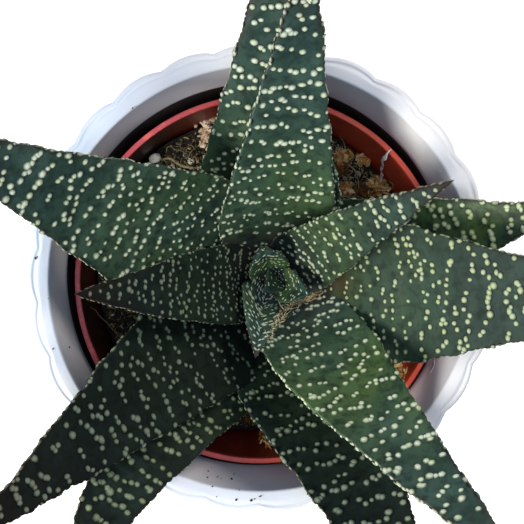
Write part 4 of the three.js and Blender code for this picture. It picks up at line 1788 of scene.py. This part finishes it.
        # The tip dries first at its margins, and a long leaf has a brown hem in its far half.
        early = 0.04 * waves(flow, 14, 180) + 0.3 * side ** 8
        whole = max(1.0, self.dry + 0.07) + 0.3 * side ** 8
        hem = 0.4 * smooth_step(np.abs(side) + 0.05 * waves(flow, 11, 190), 0.84, 0.99)
        hem = hem * smooth_step(s, 0.3, 0.7) * (self.length > 40)
        dried = smooth_step(s + early, self.dry - 0.16, whole)
        form.marks["tip"] = np.maximum(dried, hem)
        along, across, square = self.blot
        blot = np.exp(-((run - along) ** 2 + (side * self.width / 2 - across) ** 2) / square)
        form.marks["stain"] = self.stain * blot
        # Painted shade over the whole leaf.
        form.marks["shade"] = np.full(len(s), self.dark)

    def rows(self, face: Face) -> tuple[np.ndarray, np.ndarray]:
        """Places of the tubercles on one face, in staggered rows across it.

        Row i of n runs at length ((i + 0.6) / n)^1.26 along the leaf, and leans, sways and,
        with a chevron, runs back from the middle. It has a place at every half pitch. Those at
        a whole pitch are nearly all taken and those between hardly ever, except in a bar.

        Args:
            face: The face. Rows and pitch are a quarter wider on the under one.

        Returns:
            Shares of the length, and shares of the half width from -1 to 1.
        """
        draw = np.random.default_rng(200 + 2 * self.order + (face is Face.UNDER))
        loose = 1.0 if face is Face.UPPER else 1.25
        row, pitch = self.row * loose, self.pitch * loose
        count = int(self.length / row)
        reach = int(self.width / pitch) + 2
        line, column = np.meshgrid(np.arange(count), np.arange(-reach, reach + 1), indexing="ij")
        run = self.length * ((line + 0.6) / count) ** self.closing
        least, rest = self.kept_pitch
        near = least + rest * smooth_step(run, 0.0, min(40.0, 0.4 * self.length))
        across = column * pitch / 2 * near
        across = across + draw.normal(0, self.stray_across * pitch, line.shape)
        across = across + draw.uniform(0, pitch, (count, 1))
        # Each row crowds and thins along its length, so that neighbours merge into bars.
        crowd = 2 * math.pi * across / (2.8 * pitch) + draw.uniform(0, 6.3, (count, 1))
        across = across + self.crowding * pitch * np.sin(crowd)
        lean = draw.normal(0, 0.07, (count, 1))
        sway = 1.1 * np.sin(across / 5.5 + line * 1.3 + self.order)
        stray = draw.normal(0, self.stray_along * row, line.shape)
        run = run + lean * across + near * (sway * row / 4.5 + stray)
        run = run - self.chevron * np.abs(across)
        s = run / self.length
        half = self.half_width(np.clip(s, 0, 1))
        # Rows run together into long bars, more often towards the tip.
        at_base, added, long = self.bars
        middle = draw.uniform(-0.4, 0.4, (count, 1)) * self.width
        barred = draw.uniform(size=(count, 1)) < at_base + added * line[:, :1] / count
        bar = barred & (np.abs(across - middle) < long * pitch)
        share = np.where(bar, 1.0, np.where(column % 2 == 0, *self.chances))
        kept = (draw.uniform(size=line.shape) < share) & (s > self.grown[0]) & (s < self.grown[1])
        # The margins have their own tubercles, so these leave them room.
        kept &= np.abs(across) < half - 0.9 * min(1.0, self.width / 25)
        return s[kept], (across / np.maximum(half, 0.1))[kept]

    def bead_size(self, s: np.ndarray, share: float, full: float) -> np.ndarray:
        """Half width of a tubercle at s: it rises from its first value by a share of the way to
        its second, which is reached at full."""
        return self.bead[0] + share * (self.bead[1] - self.bead[0]) * smooth_step(s, 0, full)

    def beads(self) -> Surface:
        """All the tubercles: low domes on both faces and along both margins, longer or wider
        by seeded shares.

        Returns:
            The domes, with their marks.
        """
        draw = np.random.default_rng(300 + self.order)
        places, angles, lengths, widths = [], [], [], []
        for face in Face:
            s, side = self.rows(face)
            size = self.bead_size(s, 1, 0.7) * np.exp(draw.normal(0, 0.11, len(s)))
            places.append(s)
            angles.append(face.value * np.arccos(np.clip(side, -0.97, 0.97)))
            lengths.append(size * self.stretch * draw.uniform(0.85, 1.2, len(s)))
            widths.append(size * draw.uniform(0.82, 1.1, len(s)))
        for margin in (0.0, math.pi):
            run = np.arange(1.2, self.length * self.grown[1], self.margin_step)
            s = (run + draw.normal(0, self.margin_jitter, len(run))) / self.length
            size = self.bead_size(s, 0.4, 0.8) * draw.uniform(0.7, 1.3, len(s))
            places.append(s)
            angles.append(margin + draw.normal(0, 0.14, len(s)))
            lengths.append(size * 0.85)
            widths.append(size * draw.uniform(0.8, 1.35, len(s)))
        return self.domes(*map(np.concatenate, (places, angles, lengths, widths)), draw)

    def domes(self, s: np.ndarray, angle: np.ndarray, length: np.ndarray, width: np.ndarray,
              draw: np.random.Generator) -> Surface:
        """Low oval domes on the skin.

        Each ring of a dome stands at a share of its half sizes and at a share of its height,
        which is 0.42 of their mean and 0.1 mm. The lowest lies just under the skin. The pearly
        colour fades to the skin's down the flank.

        Args:
            s: Shares of the length.
            angle: Angles round the section.
            length: Half sizes round the section.
            width: Half sizes along the leaf.
            draw: Seeded numbers.

        Returns:
            The domes, marked as the body is.
        """
        here = self.skin(s, angle)
        ahead = self.skin(np.minimum(s + 0.002, 0.999), angle) - self.skin(s - 0.002, angle)
        around = self.skin(s, angle + 0.03) - self.skin(s, angle - 0.03)
        ahead /= np.linalg.norm(ahead, axis=1, keepdims=True)
        out = np.cross(around, ahead)
        out /= np.linalg.norm(out, axis=1, keepdims=True)
        # The long side of each dome follows the slant of its row.
        slant = np.arctan(self.chevron) * np.sign(np.cos(angle) * np.sin(angle))[:, None]
        square = np.cross(ahead, out)
        beside = np.cos(slant) * square + np.sin(slant) * ahead
        ahead = np.cos(slant) * ahead - np.sin(slant) * square
        tall = 0.42 * np.sqrt(length * width) + 0.1
        turn = even_angles(self.dome_columns)
        spread, level, pearl = np.array(self.dome).T
        grid = (len(spread), self.dome_columns)
        push = 1 + draw.uniform(-0.1, 0.1, (len(s), *grid))
        x = (length[:, None, None] * spread[:, None] * np.cos(turn) * push)[..., None]
        y = (width[:, None, None] * spread[:, None] * np.sin(turn) * push)[..., None]
        z = (tall[:, None, None] * level[:, None] * np.ones(len(turn)))[..., None]
        rings = (here[:, None, None] + x * beside[:, None, None] + y * ahead[:, None, None]
                 + z * out[:, None, None])
        foot = here - out * (0.5 * tall)[:, None]
        form = closed_forms(rings, foot, here + out * tall[:, None])
        self.mark(form, *(per_form(value, grid) for value in (s, np.cos(angle), np.sin(angle))))
        flank = np.repeat(pearl, self.dome_columns)
        form.marks["pearl"] = np.tile(np.append(flank, [0, 1]), len(s))
        tint = self.warm + 0.5 * draw.beta(1.3, 2.2, len(s)) - 0.1
        # Painted light also makes the tubercles yellower where the skin is sunlit.
        form.marks["bead"] = np.clip(per_form(tint, grid) + 0.5 * form.marks["glow"], 0, 1)
        form.marks["dried"] = 0.85 * form.marks["tip"]
        return form

    def build(self, bench: Bench) -> None:
        """Makes the leaf with its tubercles."""
        bench.piece(f"{self.name}_beaded", self.body().joined(self.beads()), LeafCuticle(),
                    (self.name,))


@dataclass
class Rosette:
    """The leaves from oldest to youngest."""

    leaves: tuple[Leaf, ...] = (
        Leaf(0, 16, 106, 39, (42, 30), 0.25, 1.12, warm=0.5, glow=(0.9, 0.6), row=4.2,
             pitch=2.1),
        Leaf(1, 226, 129, 43, (38, 33), 0.33, 0.95, 15, ripple=0.32, dark=0.75, warm=0.6,
             row=4.4, pitch=2.1),
        Leaf(2, 92, 124, 46, (40, 34), 0.27, 1, roll=-16, dark=0.1),
        Leaf(3, 292, 134, 48, (42, 36), 0.26, 1.05, roll=-4, dark=0.8),
        Leaf(4, 155.5, 142, 47, (42, 38), 0.26, 1, roll=-10, dry=0.88, dark=0.2, row=4.7,
             pitch=2.2, bead=(0.54, 0.9)),
        Leaf(5, 354, 139, 47, (44, 38), 0.29, 1, 16, 6, glow=(0.35, 0.2), warm=0.6, dark=0.4,
             stain=0.8),
        Leaf(6, 215.5, 139, 46, (44, 40), 0.14, 1.1, roll=-12, glow=(0.2, 0.3), dry=0.82,
             dark=0.85, ripple=0.2),
        Leaf(7, 88, 132, 36.5, (48, 44.5), 0.18, 1.07, roll=7, glow=(0.4, 0.2), dark=0.12),
        Leaf(8, 304, 137, 34, (48, 54), 0.26, 1.05, 14, -24, 0.9, glow=(0.5, 0.35), dry=0.9,
             row=4.9, pitch=2.7, bead=(0.7, 0.88), purple=0.6),
        Leaf(9, 181, 87, 25, (50, 52), 0.16, 1.4, -6, 6, dry=0.82, dark=0.8, row=3.2,
             pitch=1.9, bead=(0.5, 0.74), purple=0.6),
        Leaf(10, 39, 85, 21.5, (52, 53), 0.14, 1.28, -6, glow=(0.45, 0.35), warm=0.35, dry=0.91,
             dark=0.4, row=3.9, pitch=2.0, bead=(0.6, 0.82), purple=0.5),
        Leaf(11, 246, 27, 19, (55, 22), 0.2, 1.05, 16, -8, 0.4, fold=0.35, row=1.3,
             pitch=1.6, bead=(0.26, 0.3), chevron=0.9, dry=0.94, stretch=2.4),
        Leaf(12, 112, 20, 13, (66, 52), 0.3, 1.9, fold=0.3, row=1.6, pitch=2.1, dark=0.15,
             bead=(0.22, 0.26), chevron=0.8, dry=1.3, stretch=2.2, glow=(0.5, 0.4), warm=0.5),
        Leaf(13, 344, 17, 11, (66, 48), 0.3, 1.7, fold=0.4, row=1.6, pitch=2.0, dark=0.15,
             bead=(0.2, 0.24), chevron=0.8, dry=1.3, stretch=2.2, glow=(0.5, 0.4), warm=0.5),
        Leaf(14, 216, 12, 9.5, (64, 40), clasp=0.9, fold=0.3, row=1.6, pitch=2.0, bead=(0.2, 0.24),
             chevron=0.8, dry=1.3, dark=0.25, stretch=2.0, glow=(0.3, 0.4), warm=0.5, back=2.6),
    )

    def build(self, bench: Bench) -> None:
        """Makes every leaf."""
        for leaf in self.leaves:
            leaf.build(bench)


# Floor, light and camera.


@dataclass
class Studio:
    """Pale floor, a warm window light and a weaker one from behind, a cool light from above,
    the even light of the room, and the camera above the pot."""

    eye: tuple[float, float, float] = (-28.0, 32.0, 518.0)
    target: tuple[float, float, float] = (-0.7, 5.85, 118.0)
    focal_pixels: float = 1290.0
    frame_pixels: float = 524.0
    sensor: float = 36.0
    floor_half: float = 2600.0
    room: str = "#dfeaff"
    room_strength: float = 0.27
    # Name, place, aim, size, power and colour.
    lamps: tuple = (
        ("window", (-630, -365, 620), (0, 0, 120), 400, 12.0, "#fff8ea"),
        ("back", (420, 480, 600), (0, 0, 120), 380, 3.6, "#fff2e2"),
        ("top", (0, 0, 900), (0, 0, 100), 600, 1.8, "#dbe8ff"),
    )

    def camera(self) -> None:
        """Makes the camera, looking from the eye to the target with +Y up in the picture."""
        eye, target = Vector(self.eye), Vector(self.target)
        view = (target - eye).normalized()
        right = view.cross(Vector((0, 1, 0))).normalized()
        up = right.cross(view)
        data = bpy.data.cameras.new("camera")
        data.sensor_width = self.sensor
        data.lens = self.sensor * self.focal_pixels / self.frame_pixels
        data.clip_start, data.clip_end = 0.01, 20.0
        camera = bpy.data.objects.new("camera", data)
        turn = Matrix((right, up, -view)).transposed().to_4x4()
        camera.matrix_world = Matrix.Translation(eye * MM) @ turn
        bpy.context.scene.collection.objects.link(camera)
        bpy.context.scene.camera = camera

    def lights(self) -> None:
        """Makes the lamps and the even light of the room."""
        for name, place, aim, size, power, colour in self.lamps:
            data = bpy.data.lights.new(name, "AREA")
            data.shape, data.size, data.energy = "DISK", size * MM, power
            data.color = linear(colour)[:3]
            lamp = bpy.data.objects.new(name, data)
            towards = Vector(aim) - Vector(place)
            turn = towards.to_track_quat("-Z", "Y").to_matrix().to_4x4()
            lamp.matrix_world = Matrix.Translation(Vector(place) * MM) @ turn
            bpy.context.scene.collection.objects.link(lamp)
        world = bpy.data.worlds.new("studio")
        world.use_nodes = True
        shade = world.node_tree.nodes["Background"]
        shade.inputs["Color"].default_value = linear(self.room)
        shade.inputs["Strength"].default_value = self.room_strength
        bpy.context.scene.world = world
        bpy.context.scene.view_settings.view_transform = "Standard"

    def floor(self, bench: Bench) -> None:
        """Makes the floor, a flat sheet under the pot that isn't part of the object.

        Args:
            bench: Where its material is made.
        """
        half = self.floor_half * MM
        mesh = bpy.data.meshes.new("floor")
        mesh.from_pydata([(-half, -half, 0), (half, -half, 0), (half, half, 0), (-half, half, 0)],
                         [], [(0, 1, 2, 3)])
        mesh.materials.append(bench.dress(StudioPaper()))
        floor = bpy.data.objects.new("floor", mesh)
        bpy.context.scene.collection.objects.link(floor)

    def build(self, bench: Bench) -> None:
        """Makes the camera, the lights and the floor.

        Args:
            bench: Where the pieces are made.
        """
        self.camera()
        self.lights()
        self.floor(bench)


def main() -> None:
    """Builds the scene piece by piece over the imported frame."""
    logging.basicConfig(level=logging.INFO, format="%(message)s")
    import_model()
    bench = Bench()
    Studio().build(bench)
    nursery = NurseryPot()
    soil = RootBall(nursery)
    for part in (WhitePot(), nursery, soil, Topping(), Litter(soil), Stem(), Rosette()):
        part.build(bench)
    LOG.info("%d triangles in all", bench.tally)


if __name__ == "__main__":
    main()
